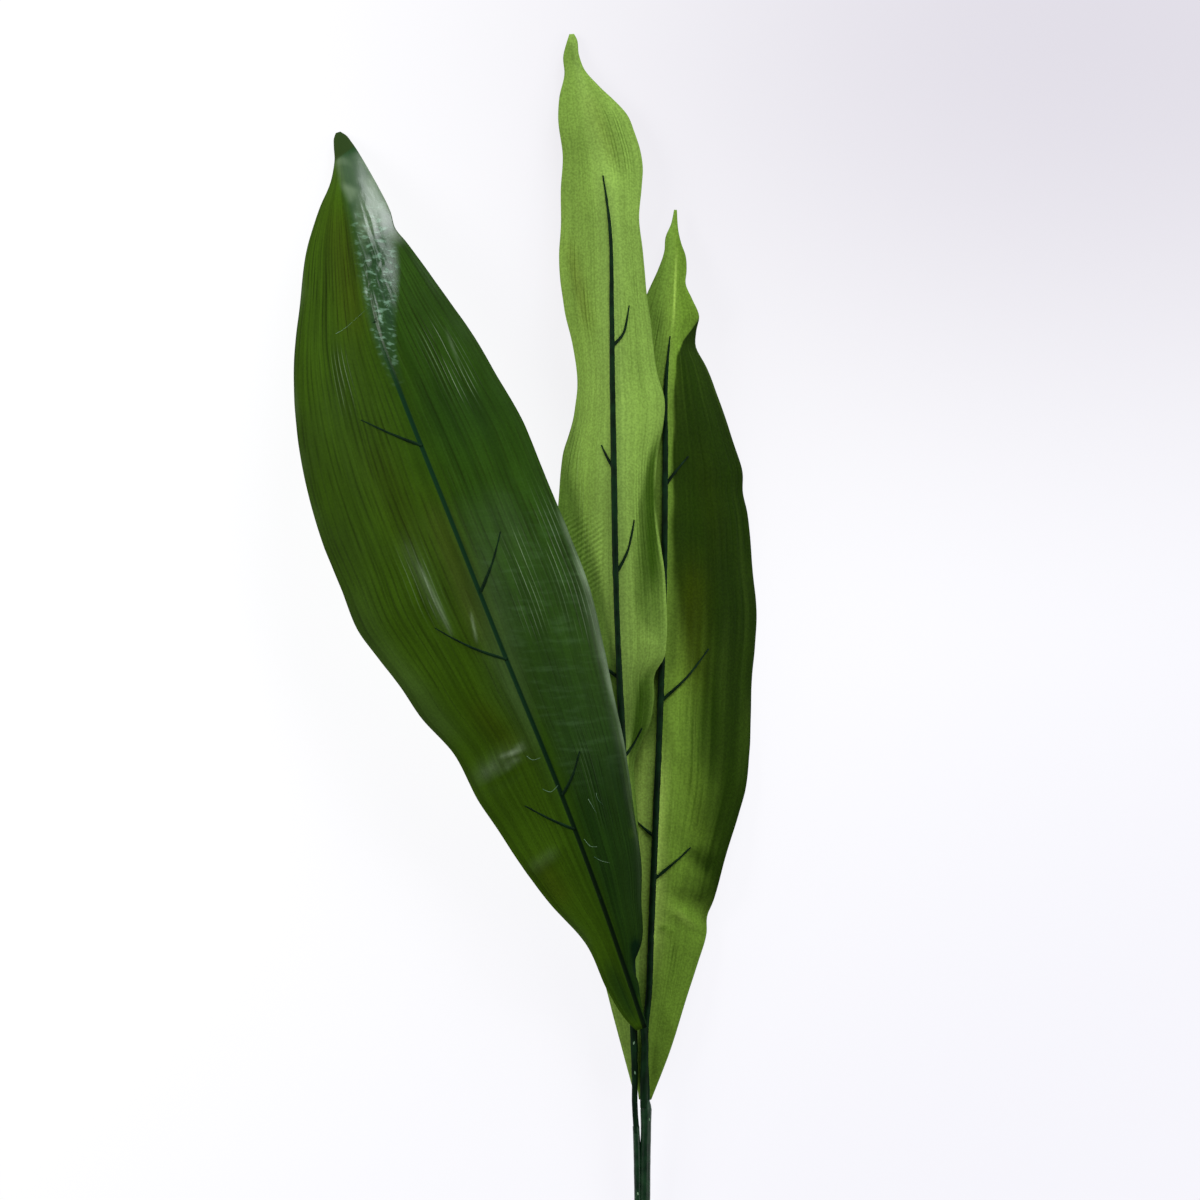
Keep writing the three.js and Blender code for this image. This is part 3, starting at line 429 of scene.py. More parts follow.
def makeBlade(leaf, faceMaterial, backMaterial):
    rows, half = bladeMesh["rows"], bladeMesh["halfColumns"]
    row = leaf["length"] * (1 - (1 - np.linspace(0, 1, rows + 1)) ** bladeMesh["tipCrowding"])
    q = np.linspace(-1, 1, 2 * half + 1)
    along, across = np.meshgrid(row, np.sign(q) * np.abs(q) ** bladeMesh["midribCrowding"], indexing="ij")
    points, offset = bladePoint(leaf, along, across)
    normals = bladeNormal(leaf, along, across)
    relief = bladeRelief(leaf, along, offset, across)
    halfThick = bladeMesh["thickness"] / 2 * (1 - 0.5 * np.abs(across) ** 10)
    upper = points + normals * (relief + halfThick)[..., None]
    lower = points + normals * (relief - halfThick)[..., None]
    for layer in (upper, lower):  # nothing sinks through the surface that the spray lies on
        layer[..., 2] = np.maximum(layer[..., 2], 0.02)
    upper[..., 2] = np.maximum(upper[..., 2], lower[..., 2] + 0.15)
    index = np.arange(along.size).reshape(along.shape)
    below = index + index.size
    a, b, c, d = index[:-1, :-1], index[:-1, 1:], index[1:, 1:], index[1:, :-1]
    top = np.stack([a, b, c, d], -1).reshape(-1, 4)
    bottom = np.stack([a, d, c, b], -1).reshape(-1, 4) + index.size
    rim = [np.stack([below[0, :-1], below[0, 1:], index[0, 1:], index[0, :-1]], -1),
           np.stack([index[-1, :-1], index[-1, 1:], below[-1, 1:], below[-1, :-1]], -1),
           np.stack([index[:-1, 0], index[1:, 0], below[1:, 0], below[:-1, 0]], -1),
           np.stack([below[:-1, -1], below[1:, -1], index[1:, -1], index[:-1, -1]], -1)]
    faces = np.concatenate([top, bottom] + rim)
    mesh = bpy.data.meshes.new(leaf["name"] + "Blade")
    vertices = np.concatenate([upper.reshape(-1, 3), lower.reshape(-1, 3)]) * mm
    mesh.from_pydata(vertices.tolist(), [], faces.tolist())
    place = [leaf["spine"](along) - offset, along, across]
    toneAndPaintedLight = bladeToneAndPaintedLight(leaf, along, offset, across)
    marks = [np.clip(markField(leaf[key], along, offset), 0, 1) for key in ("paleLines", "darkLines", "rust")]
    for label, kind, slot, values in (("leafPlace", "FLOAT_VECTOR", "vector", np.stack(place, -1)),
                                      ("leafToneAndPaintedLight", "FLOAT", "value", toneAndPaintedLight),
                                      ("leafMarks", "FLOAT_VECTOR", "vector", np.stack(marks, -1))):
        both = np.concatenate([values.ravel()] * 2).astype(np.float32)  # for the upper and the lower side
        mesh.attributes.new(label, kind, "POINT").data.foreach_set(slot, both)
    mesh.materials.append(faceMaterial)
    mesh.materials.append(backMaterial)
    # leaves 2 and 3 lie face down; the cut margin shows the colour of the side that is turned up
    turnedUp = 0 if leaf["ribFace"] < 0 else 1
    which = np.full(len(faces), turnedUp, dtype=np.int32)
    which[len(top):len(top) + len(bottom)] = 1 - turnedUp
    mesh.polygons.foreach_set("material_index", which)
    mesh.polygons.foreach_set("use_smooth", np.ones(len(faces), dtype=bool))
    mesh.update()
    blade = addObject(leaf["name"] + "Blade", mesh)
    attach(blade, "root")
    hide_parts(leaf["node"] + "_blade")
    print(blade.name, len(mesh.vertices), "vertices")


def linear(code):  # an sRGB hex value as linear light
    parts = [int(code[i:i + 2], 16) / 255 for i in (1, 3, 5)]
    return [p / 12.92 if p <= 0.04045 else ((p + 0.055) / 1.055) ** 2.4 for p in parts] + [1]


def feed(tree, node, inputs):  # links what comes from another node and sets the rest
    for key, value in inputs.items():
        if isinstance(value, bpy.types.NodeSocket):
            tree.links.new(value, node.inputs[key])
        else:
            node.inputs[key].default_value = value


def addNode(tree, kind, settings=None, inputs=None):
    node = tree.nodes.new(kind)
    for key, value in (settings or {}).items():
        setattr(node, key, value)
    feed(tree, node, inputs or {})
    return node


# The steps that the patterns are worked out in: node, settings, the inputs in order, and the output.
maths = {"times": "MULTIPLY", "plus": "ADD", "minus": "SUBTRACT", "over": "DIVIDE", "size": "ABSOLUTE",
         "larger": "MAXIMUM", "fraction": "FRACT", "whole": "FLOOR", "sine": "SINE"}
patternParts = {part: ("ShaderNodeMath", {"operation": operation}, (0, 1), 0)
                for part, operation in maths.items()}
patternParts["ramp"] = ("ShaderNodeMapRange", {"interpolation_type": "SMOOTHSTEP"}, (0, 1, 2, 3, 4), 0)
patternParts["blend"] = ("ShaderNodeMix", {"data_type": "RGBA"}, (0, 6, 7), 2)


def addPart(tree, part, *values):
    kind, settings, sockets, output = patternParts[part]
    return addNode(tree, kind, settings, dict(zip(sockets, values))).outputs[output]


def addNoise(tree, spot, scale, detail):
    inputs = {"Vector": spot, "Scale": scale, "Detail": detail}
    return addNode(tree, "ShaderNodeTexNoise", inputs=inputs).outputs[0]


def addBump(tree, shader, height, distance, strength):
    bump = addNode(tree, "ShaderNodeBump", inputs={"Height": height, "Distance": distance, "Strength": strength})
    tree.links.new(bump.outputs[0], shader.inputs["Normal"])


def newMaterial(name):  # gives its nodes, its shader and the place on the piece as well
    material = bpy.data.materials.new(name)
    material.use_nodes = True
    tree = material.node_tree
    tree.nodes.clear()
    shader = addNode(tree, "ShaderNodeBsdfPrincipled")
    addNode(tree, "ShaderNodeOutputMaterial", inputs={"Surface": shader.outputs[0]})
    return material, tree, shader, addNode(tree, "ShaderNodeTexCoord").outputs["Object"]


# Woven polyester with a printed and pressed face. The face has a soft plastic sheen that breaks up
# on the pressed veins; the back is matt and paler, and its veins show only in low light.
def leafCloth(name, look):
    material, tree, shader, spot = newMaterial(name)
    put = partial(addPart, tree)
    times, plus, size, ramp, blend = (partial(put, part) for part in ("times", "plus", "size", "ramp", "blend"))

    def streaks(across, along, detail=2):  # noise drawn out along the veins
        cell = addNode(tree, "ShaderNodeCombineXYZ", inputs={0: across, 1: along, 2: look["seed"]})
        inputs = {"Vector": cell.outputs[0], "Scale": 1, "Detail": detail, "Roughness": 0.55}
        return addNode(tree, "ShaderNodeTexNoise", inputs=inputs).outputs[0]

    def veinLines(count, width, turn):  # crisp lengthwise lines that come and go along the leaf
        place = plus(times(veinPlace, count), turn)
        line = ramp(size(put("minus", put("fraction", place), 0.5)), width, width * 0.25)
        strength = streaks(times(put("whole", place), 5.37), times(along, 0.035), 1)
        return times(line, ramp(strength, 0.36, 0.62))

    def cover(factor, tint):  # one more tint over the colour so far
        return blend(factor, colour, linear(look[tint]))

    place = addNode(tree, "ShaderNodeAttribute", {"attribute_name": "leafPlace"})
    fromRib, along, across = addNode(tree, "ShaderNodeSeparateXYZ", inputs={0: place.outputs["Vector"]}).outputs
    away, sideways = size(fromRib), size(across)
    toneAndPaintedLight = addNode(tree, "ShaderNodeAttribute", {"attribute_name": "leafToneAndPaintedLight"}).outputs["Fac"]
    marks = addNode(tree, "ShaderNodeAttribute", {"attribute_name": "leafMarks"})
    marks = addNode(tree, "ShaderNodeSeparateXYZ", inputs={0: marks.outputs["Vector"]})
    paleZone, darkZone, rustZone = marks.outputs
    broad, grain = addNoise(tree, spot, 26, 2), addNoise(tree, spot, 900, 1)
    drift = times(put("minus", streaks(times(across, 3), times(along, 0.012)), 0.5), 0.05)
    veinPlace = plus(across, drift)
    fineVein = streaks(times(veinPlace, look["fineVeins"]), times(along, 0.006))

    paleLine = times(veinLines(look["veins"], 0.14, 0), ramp(paleZone, 0, 0.8, look["strayPale"], 1))
    darkLine = times(veinLines(look["veins"] * 0.83, 0.24, 0.4), ramp(darkZone, 0, 0.8, look["strayDark"], 1))
    besideRib = ramp(away, 1.5, 7)  # no lines on the midrib itself
    paleLine, darkLine = times(paleLine, besideRib), times(darkLine, besideRib)

    # the two halves of the blade; where the right is darker, as on leaf 1 and on the back of leaf 3, it is
    # painted shade on the half that turns from the light
    colour = blend(ramp(across, -0.4, 0.3), linear(look["left"]), linear(look["right"]))
    colour = cover(ramp(sideways, 0, 0.55, look["midPale"], 0), "paleAndPaintedLight")
    # the lines fade out low on the left half
    lined = put("larger", ramp(along, look["smoothTo"], look["smoothTo"] + 110, 0.3, 1),
                ramp(across, 0, 0.35, 0.3, 0.75))
    colour = cover(times(ramp(fineVein, 0.5, 0.3, 0, look["fineShade"]), lined), "vein")
    colour = cover(times(times(darkLine, look["veinDark"]), lined), "vein")
    colour = cover(times(paleLine, look["veinPale"]), "paleAndPaintedLight")
    # above 0 painted highlights, below 0 painted shade, each with a little random tone
    colour = cover(ramp(toneAndPaintedLight, 0, 1, 0, 0.9), "paleAndPaintedLight")
    colour = cover(ramp(toneAndPaintedLight, 0, -1, 0, 0.95), "dark")
    colour = cover(times(rustZone, look["rusty"]), "rust")
    band = streaks(times(veinPlace, 11), times(along, 0.008))
    light = times(ramp(broad, 0.3, 0.7, 0.9, 1.1), ramp(band, 0.35, 0.65, 1 - look["bands"], 1 + look["bands"]))
    light = times(light, ramp(sideways, 0.8, 1, 1, look["marginShade"]))
    light = times(light, ramp(grain, 0.3, 0.7, 1 - look["grain"], 1 + look["grain"]))
    colour = addNode(tree, "ShaderNodeVectorMath", {"operation": "SCALE"}, {0: colour, 3: light}).outputs[0]
    if look["crumple"]:  # where the face was handled near the tip the film is crazed: a teal tint, a painted sheen, painted glints on the wrinkles and painted shade between them
        centre, spread = ramp(along, *look["handledMiddle"]), ramp(along, *look["handledSpread"])
        handled = ramp(put("over", size(put("minus", fromRib, centre)), spread), 1.15, 0.55)
        handled = times(handled, ramp(along, *look["handledFrom"]))
        cloud = addNoise(tree, spot, 62, 1.5)
        bent = plus(times(fromRib, 0.24), times(cloud, 1.6))
        wander = plus(times(fromRib, 0.35), times(cloud, 9))
        folds = streaks(bent, times(plus(along, wander), 0.42))
        crazeAndGlint = times(handled, ramp(along, *look["crazedTo"]))
        turned = put("minus", fromRib, ramp(along, *look["bendLine"]))
        paintedTipSheen = times(ramp(along, *look["paintedTipSheenFrom"]), ramp(turned, -0.5, 3.5))
        paintedTipSheen = times(times(paintedTipSheen, ramp(along, *look["paintedTipSheenTo"])), ramp(along, *look["paintedTipSheenGain"]))
        colour = cover(times(handled, 0.6), "filmBody")
        # a painted white sheen on the side of the tip that bends away
        colour = cover(times(paintedTipSheen, ramp(cloud, 0.38, 0.62, 0.06, 0.32)), "paleAndPaintedLight")
        # painted glints on the wrinkles, and painted shade between them
        colour = cover(times(crazeAndGlint, ramp(folds, 0.52, 0.7, 0, 0.42)), "crazeAndGlint")
        colour = cover(times(crazeAndGlint, ramp(folds, 0.48, 0.34, 0, 0.26)), "dark")
        # painted sheen: faint pale green streaks across the lower part of leaf 1
        paintedSheenStreaks = streaks(times(fromRib, 0.08), times(plus(along, times(away, 0.3)), 0.28))
        paintedSheenStreaks = times(ramp(paintedSheenStreaks, 0.45, 0.8, 0.02, 0.08), ramp(fromRib, 1, 9))
        paintedSheenZone = times(ramp(along, *look["paintedSheenFrom"]), ramp(along, *look["paintedSheenTo"]))
        colour = cover(times(paintedSheenStreaks, paintedSheenZone), "paintedSheenStreaks")
    if look["midribLine"]:  # the moulded rib shows through as a dark pressed line
        line = times(ramp(away, *look["lineWidth"]), ramp(along, *look["lineTo"]))
        ribLine = blend(ramp(along, *look["lineTint"]), linear(look["footLine"]), linear(look["ribLine"]))
        colour = blend(times(line, 0.92), colour, ribLine)
        # painted shade on the nib of the tip, which bends away from the light
        paintedNibShade = ramp(put("minus", along, times(fromRib, 0.35)), *look["nibFrom"])
        colour = cover(times(paintedNibShade, 0.85), "paintedNibShade")
    rough = ramp(broad, 0.3, 0.7, look["rough"] - 0.05, look["rough"] + 0.05)
    rough = plus(rough, ramp(fineVein, 0.35, 0.65, 0.05, -0.03))
    feed(tree, shader, {"Base Color": colour, "Roughness": rough, "IOR": 1.48,
                        "Specular IOR Level": look["specular"]})
    if look["film"]:  # the plastic film lies thickest and smoothest on the side of the tip that bends away
        film = times(ramp(along, *look["filmFrom"]), ramp(turned, 0, 4))
        film = times(put("larger", film, times(handled, 0.5)), ramp(along, *look["filmTo"]))
        rim = times(ramp(along, *look["rimFrom"]), ramp(along, *look["rimTo"]))
        rim = times(ramp(across, 0.84, 0.98), rim)
        film = times(put("larger", film, times(rim, 0.22)), ramp(broad, 0.38, 0.6, 0.4, 1))
        feed(tree, shader, {"Coat Weight": times(film, look["film"]), "Coat Roughness": 0.27})

    height = times(plus(times(fineVein, 0.3), put("minus", paleLine, darkLine)), look["veinRelief"])
    height = plus(times(height, ramp(along, 420, 395)), times(grain, look["weaveRelief"]))
    for zone in look["ripples"]:  # short ripples that run out from the rib like herringbone
        phase = times(plus(along, times(away, zone["slant"])), 2 * math.pi / zone["pitch"])
        wave = put("sine", plus(phase, times(broad, 9)))
        inside = times(ramp(along, zone["from"], zone["from"] + 12), ramp(along, zone["to"], zone["to"] - 12))
        inside = times(inside, ramp(across, zone["inner"], zone["outer"]))
        height = plus(height, times(times(wave, inside), zone["lift"]))
    if look["crumple"]:  # crazed film where the face was handled
        height = plus(height, times(times(folds, crazeAndGlint), look["crumple"]))
    addBump(tree, shader, height, 0.0005, 0.8)
    return material


glossLook = {
    # the darker right colour, the dark colour and the nib colour are painted shade; pale also serves painted
    # highlights; the crazed colour is painted glints and the pale green streak colour a painted sheen
    "left": "#36520A", "right": "#243F0A", "paleAndPaintedLight": "#93A886", "dark": "#07220E", "vein": "#1C2A06",
    "rust": "#3C4207", "filmBody": "#23422A", "crazeAndGlint": "#8DB59A", "paintedSheenStreaks": "#86B07C",
    "ribLine": "#0A2A1A", "footLine": "#06120A", "paintedNibShade": "#2A3B18",
    "midPale": 0, "veinDark": 0.8, "veinPale": 0.45, "veins": 24, "fineVeins": 44, "strayPale": 0.02,
    "strayDark": 0.55, "rusty": 0.5, "grain": 0.07, "bands": 0.16, "fineShade": 0.34, "marginShade": 0.84,
    "rough": 0.55, "specular": 0.03, "film": 1, "crumple": 1.5, "midribLine": True,
    "veinRelief": 0.5, "weaveRelief": 0.12, "ripples": [], "smoothTo": 150, "seed": 2,
    # zones in mm along the leaf: where each is nil and where it is full, then other values than 0 and 1
    "handledFrom": (338, 372), "handledMiddle": (345, 410, 0.5, 7.5), "handledSpread": (345, 410, 4, 11),
    "crazedTo": (440, 418), "bendLine": (428, 456, -1, -4.5),
    "paintedTipSheenFrom": (404, 428), "paintedTipSheenTo": (465, 459), "paintedTipSheenGain": (436, 456, 0.8, 1.5),
    "paintedSheenFrom": (110, 150), "paintedSheenTo": (300, 220), "lineTo": (380, 335), "lineTint": (60, 220),
    "nibFrom": (462, 463.5), "filmFrom": (408, 424), "filmTo": (464, 460),
    "rimFrom": (50, 90), "rimTo": (412, 380),
    "lineWidth": (1.45, 0.75),  # this one is in mm from the midrib
}
plainGlossLook = dict(glossLook, midribLine=False, crumple=0, film=0, seed=7)
backLookTwo = {
    # dark: painted shade; pale: pale veins and also painted highlights
    "left": "#7A9A42", "right": "#7C9C44", "paleAndPaintedLight": "#A5C272", "dark": "#2B4806", "vein": "#42601A",
    "rust": "#69772A", "midPale": 0.1, "veinDark": 0.6, "veinPale": 0.35, "veins": 17, "fineVeins": 30,
    "strayPale": 0.1, "strayDark": 0.15, "rusty": 0.45, "grain": 0.14, "bands": 0.07, "fineShade": 0.2,
    "marginShade": 0.95, "rough": 0.8, "specular": 0.04, "film": 0, "crumple": 0, "midribLine": False,
    "veinRelief": 0.5, "weaveRelief": 0.25, "smoothTo": -200, "seed": 4,
    "ripples": [{"from": 242, "to": 292, "inner": -0.08, "outer": -0.3, "pitch": 2.7, "slant": 0.55,
                 "lift": 0.24}],
}
# leaf 3's back: a darker copy of leaf 2's; its darker right half and its dark colour are painted shade on the
# half that turns from the light
backLookThree = dict(backLookTwo, left="#6E9036", right="#62822A", paleAndPaintedLight="#AACC5C", dark="#142800", vein="#3C5A14",
                     rust="#3F4B03", rusty=0.55, seed=9, ripples=[])

leafFace = leafCloth("coatedPolyesterLeafFace", glossLook)
hiddenFace = leafCloth("coatedPolyesterLeafFaceTurnedDown", plainGlossLook)
backTwo = leafCloth("polyesterLeafBackPale", backLookTwo)
backThree = leafCloth("polyesterLeafBackShaded", backLookThree)

makeBlade(leafOne, leafFace, backTwo)
makeBlade(leafTwo, hiddenFace, backTwo)
makeBlade(leafThree, hiddenFace, backThree)


# Injection-moulded polyethylene, very dark green, with the faint orange peel of a worn mould.
def mouldedPlastic(name, look):
    material, tree, shader, spot = newMaterial(name)
    cloud, peel = addNoise(tree, spot, 160, 3), addNoise(tree, spot, 1400, 2)
    factor = addNode(tree, "ShaderNodeMapRange", inputs={0: cloud, 1: 0.35, 2: 0.7}).outputs[0]
    colour = addPart(tree, "blend", factor, linear(look["dark"]), linear(look["light"]))
    rough = {0: cloud, 1: 0.3, 2: 0.7, 3: look["rough"] - 0.06, 4: look["rough"] + 0.08}
    rough = addNode(tree, "ShaderNodeMapRange", inputs=rough).outputs[0]
    feed(tree, shader, {"Base Color": colour, "Roughness": rough, "IOR": 1.51,
                        "Specular IOR Level": look["specular"]})
    addBump(tree, shader, peel, 0.0001, 0.6)
    return material


plasticLooks = {
    "rib": {"dark": "#06180A", "light": "#0F2A14", "rough": 0.55, "specular": 0.05},
    "stem": {"dark": "#0C2414", "light": "#1A3E22", "rough": 0.36, "specular": 0.2},
    "flash": {"dark": "#3E6043", "light": "#7D9A7B", "rough": 0.6, "specular": 0.1},
}
ribPlastic = mouldedPlastic("mouldedPolyethyleneRib", plasticLooks["rib"])
stemPlastic = mouldedPlastic("mouldedPolyethyleneStem", plasticLooks["stem"])
flashPlastic = mouldedPlastic("polyethyleneMouldFlash", plasticLooks["flash"])


def newShapeTree(name, inputs):  # a Geometry Nodes tree that takes and gives a mesh, with named sizes
    tree = bpy.data.node_groups.new(name, "GeometryNodeTree")
    for label, kind in {"Geometry": "Geometry", **inputs}.items():
        tree.interface.new_socket(label, in_out="INPUT", socket_type="NodeSocket" + kind)
    tree.interface.new_socket("Geometry", in_out="OUTPUT", socket_type="NodeSocketGeometry")
    return tree


def endShapeTree(tree, geometry, material):
    smooth = addNode(tree, "GeometryNodeSetShadeSmooth", inputs={"Geometry": geometry.outputs[0]})
    real = addNode(tree, "GeometryNodeRealizeInstances", inputs={"Geometry": smooth.outputs[0]})
    done = addNode(tree, "GeometryNodeSetMaterial", inputs={"Geometry": real.outputs[0], "Material": material})
    addNode(tree, "NodeGroupOutput", inputs={"Geometry": done.outputs[0]})
    return tree


# A tube along each line of the incoming wire mesh, as thick as its "thickness" attribute says.
def ribAlongPathTree(material):
    tree = newShapeTree("ribAlongPath", {"Sides": "Int", "Raggedness": "Float"})
    given = addNode(tree, "NodeGroupInput").outputs
    curve = addNode(tree, "GeometryNodeMeshToCurve", inputs={"Mesh": given["Geometry"]}).outputs[0]
    thickness = addNode(tree, "GeometryNodeInputNamedAttribute", {"data_type": "FLOAT"}, {"Name": "thickness"})
    ring = addNode(tree, "GeometryNodeCurvePrimitiveCircle", inputs={"Resolution": given["Sides"], "Radius": 1})
    tube = addNode(tree, "GeometryNodeCurveToMesh",
                   inputs={"Curve": curve, "Profile Curve": ring.outputs[0],
                           "Scale": thickness.outputs[0], "Fill Caps": True})
    uneven = addNode(tree, "ShaderNodeTexNoise", inputs={"Scale": 420, "Detail": 1})
    amount = addPart(tree, "times", addPart(tree, "minus", uneven.outputs[0], 0.5), given["Raggedness"])
    normal = addNode(tree, "GeometryNodeInputNormal")
    push = addNode(tree, "ShaderNodeVectorMath", {"operation": "SCALE"}, {0: normal.outputs[0], 3: amount})
    moved = addNode(tree, "GeometryNodeSetPosition",
                    inputs={"Geometry": tube.outputs[0], "Offset": push.outputs[0]})
    return endShapeTree(tree, moved, material)


# A small flattened bead on each incoming point, where a mould pin or a wire end has left its mark.
def mouldMarkTree(material):
    tree = newShapeTree("mouldMarksOnPoints", {"Bead radius": "Float", "Stretch": "Vector", "Seed": "Int"})
    given = addNode(tree, "NodeGroupInput").outputs
    bead = addNode(tree, "GeometryNodeMeshIcoSphere", inputs={"Radius": given["Bead radius"], "Subdivisions": 2})
    turn = addNode(tree, "FunctionNodeRandomValue", {"data_type": "FLOAT_VECTOR"},
                   {0: (-0.1, -0.1, -0.5), 1: (0.1, 0.1, 0.5), "Seed": given["Seed"]})
    beads = addNode(tree, "GeometryNodeInstanceOnPoints",
                    inputs={"Points": given["Geometry"], "Instance": bead.outputs[0],
                            "Rotation": turn.outputs[0], "Scale": given["Stretch"]})
    return endShapeTree(tree, beads, material)


def runTree(name, lines, tree, settings):  # lines: lists of (point in mm, thickness in mm)
    vertices, edges, thickness = [], [], []
    for line in lines:
        start = len(vertices)
        vertices += [[c * mm for c in point] for point, _ in line]
        thickness += [t * mm for _, t in line]
        edges += [(start + i, start + i + 1) for i in range(len(line) - 1)]
    mesh = bpy.data.meshes.new(name + "Path")
    mesh.from_pydata(vertices, edges, [])
    mesh.attributes.new("thickness", "FLOAT", "POINT").data.foreach_set("value", thickness)
    piece = addObject(name, mesh)
    modifier = piece.modifiers.new("shape", "NODES")
    modifier.node_group = tree
    for item in tree.interface.items_tree:
        if item.in_out == "INPUT" and item.name in settings:
            modifier[item.identifier] = settings[item.name]
    graph = bpy.context.evaluated_depsgraph_get()
    plain = bpy.data.meshes.new_from_object(piece.evaluated_get(graph))
    piece.modifiers.clear()
    piece.data = plain
    plain.name = name
    work = bmesh.new()
    work.from_mesh(plain)
    bmesh.ops.recalc_face_normals(work, faces=work.faces)
    work.to_mesh(plain)
    work.free()
    print(name, len(plain.polygons), "faces")
    return piece


def seatedLine(leaf, stations, radii, face, sink):  # a line that follows one face of the blade
    along = np.array([s[0] for s in stations], float)
    offset = np.array([s[1] for s in stations], float)
    spine = leaf["spine"](along)
    across = np.where(offset > spine, -(offset - spine) / (leaf["left"]["reach"](along) - spine),
                      (spine - offset) / (leaf["right"]["reach"](along) + spine))
    middle, _ = bladePoint(leaf, along, across)
    middle = middle + bladeNormal(leaf, along, across) * (
        bladeRelief(leaf, along, offset, across) + face * (bladeMesh["thickness"] / 2 + sink * radii))[:, None]
    return [(list(point), radius) for point, radius in zip(middle, radii)]


def spurLine(leaf, spur, shape, face):  # a spur's own curve, evenly stepped and getting thinner
    spur = np.array(spur, float)
    at = np.linspace(0, len(spur) - 1, 9)
    curve = [through([[i, value] for i, value in enumerate(column)])(at) for column in spur.T]
    taper = np.linspace(shape["thick"], shape["thin"], len(at))
    return seatedLine(leaf, list(zip(*curve)), taper, face, shape["seat"])


# seat: how far the middle of a line stands off the blade, as a share of its radius
ribShape = {"Sides": 14, "Raggedness": 0.0005}
ribSeat = 0.7
spurShape = {"thick": 0.85, "thin": 0.35, "seat": 0.45}
# the spurs of leaf 1 pressed through to its face, up to a place short of its tip
printShape = {"thick": 0.95, "thin": 0.35, "seat": -0.35, "upTo": 370}

ribTree = ribAlongPathTree(ribPlastic)
for leaf in leaves:
    along = np.linspace(0, leaf["ribEnd"], 150)
    stations = np.stack([along, leaf["spine"](along)], -1)
    radii = leaf["ribThickness"](along)
    main = seatedLine(leaf, stations, radii, leaf["ribFace"], ribSeat)
    stalk = [(point, leaf["stalk"]) for point in leaf["petiole"]]
    lines = [stalk + main[1:]]
    for spur in leaf["spurs"]:
        lines.append(spurLine(leaf, spur, spurShape, leaf["ribFace"]))
        if leaf is leafOne and spur[0][0] < printShape["upTo"]:
            lines.append(spurLine(leaf, spur, printShape, 1))
    rib = runTree(leaf["name"] + "Rib", lines, ribTree, ribShape)
    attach(rib, "root")
    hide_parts(leaf["node"] + "_rib")


# Scratches and small curls on leaf 1, where the film has gone white.
filmCurls = [
    [[377.7, 32.7], [379.2, 26.4], [384.9, 13.4]], [[382.5, 4.7], [383.9, 1.1], [385.8, -2.7]],
    [[148.3, 9.7], [145.5, 7.5], [145.2, 3.4]], [[130.1, 7.4], [127.5, 4.1], [129.2, -0.2]],
    [[118.2, -12.4], [114.3, -13.1], [110.3, -13.9]], [[119.8, -17.1], [116.2, -16.9], [113, -18.5]],
    [[99.9, -4.1], [95.6, -5.8], [94.1, -9]], [[89.8, -6], [86.8, -8.6], [84.6, -12.1]],
]
curlShape = {"thick": 0.14, "thin": 0.07, "seat": 0.1}
curlLines = [spurLine(leafOne, curl, curlShape, 1) for curl in filmCurls]
curls = runTree("filmCurls", curlLines, ribAlongPathTree(flashPlastic), {"Sides": 6, "Raggedness": 0.0002})
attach(curls, "root")


# The stem: two strands moulded side by side, with the mould's parting ridge down each flank.
stemShape = {
    "thick": [[60.2, -185.4, 14.6, 1.7], [60.2, -186.7, 14.6, 2.15], [60.2, -189, 14.6, 2.7],
              [60.2, -192, 13.8, 2.7], [60.2, -198.5, 13.1, 2.55],
              [59.95, -209.5, 12, 2.6], [59.65, -234.5, 9.4, 2.65], [59.35, -264.5, 6.4, 2.65],
              [59.05, -294.5, 4.2, 2.65], [58.9, -324.5, 2.9, 2.55], [58.7, -349.8, 2.46, 2.4]],
    "thin": [[55.35, -198.5, 13.8, 1.6], [55.85, -209.5, 12.4, 1.75], [56.3, -234.5, 9.6, 1.75],
             [56.3, -264.5, 6.6, 1.75], [56.1, -294.5, 4.4, 1.75], [55.9, -324.5, 3.1, 1.75],
             [55.7, -349.8, 2.6, 1.75]],
    "parting": 0.22, "steps": 70,
}


def strandLine(stations, sideways=0, radius=None):
    columns = np.array(stations, float).T
    far = -columns[1]
    at = np.linspace(far[0], far[-1], stemShape["steps"])
    x, z, r = (through(np.stack([far, columns[k]], -1))(at) for k in (0, 2, 3))
    return [((a + sideways * c, -y, b), c if radius is None else radius) for a, y, b, c in zip(x, at, z, r)]


stemTree = ribAlongPathTree(stemPlastic)
stem = runTree("stemStrands", [
    strandLine(stemShape["thick"]), strandLine(stemShape["thin"]),
    strandLine(stemShape["thick"], 0.96, stemShape["parting"]),
    strandLine(stemShape["thin"], -0.96, stemShape["parting"]),
], stemTree, {"Sides": 24, "Raggedness": 0.00025})
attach(stem, "root")
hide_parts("stem")

# Pale marks on the stalks and the stem, one for each that shows, and more on the side turned down.
markPlaces = [(54.2, -156.5, 18.9), (59.7, -156.5, 20.1), (54.7, -171.5, 17.6), (59.1, -184.6, 17.6),
              (61.9, -195, 15.4), (56.2, -232.5, 11.5), (60.6, -262, 8.7), (58.3, -301, 5.9),
              (60.3, -240, 6.5), (56.2, -285, 3.4)]
marks = runTree("mouldMarks", [[(place, 1)] for place in markPlaces], mouldMarkTree(flashPlastic),
                {"Bead radius": 0.0005, "Stretch": (0.8, 1.9, 0.5), "Seed": 3})
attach(marks, "root")

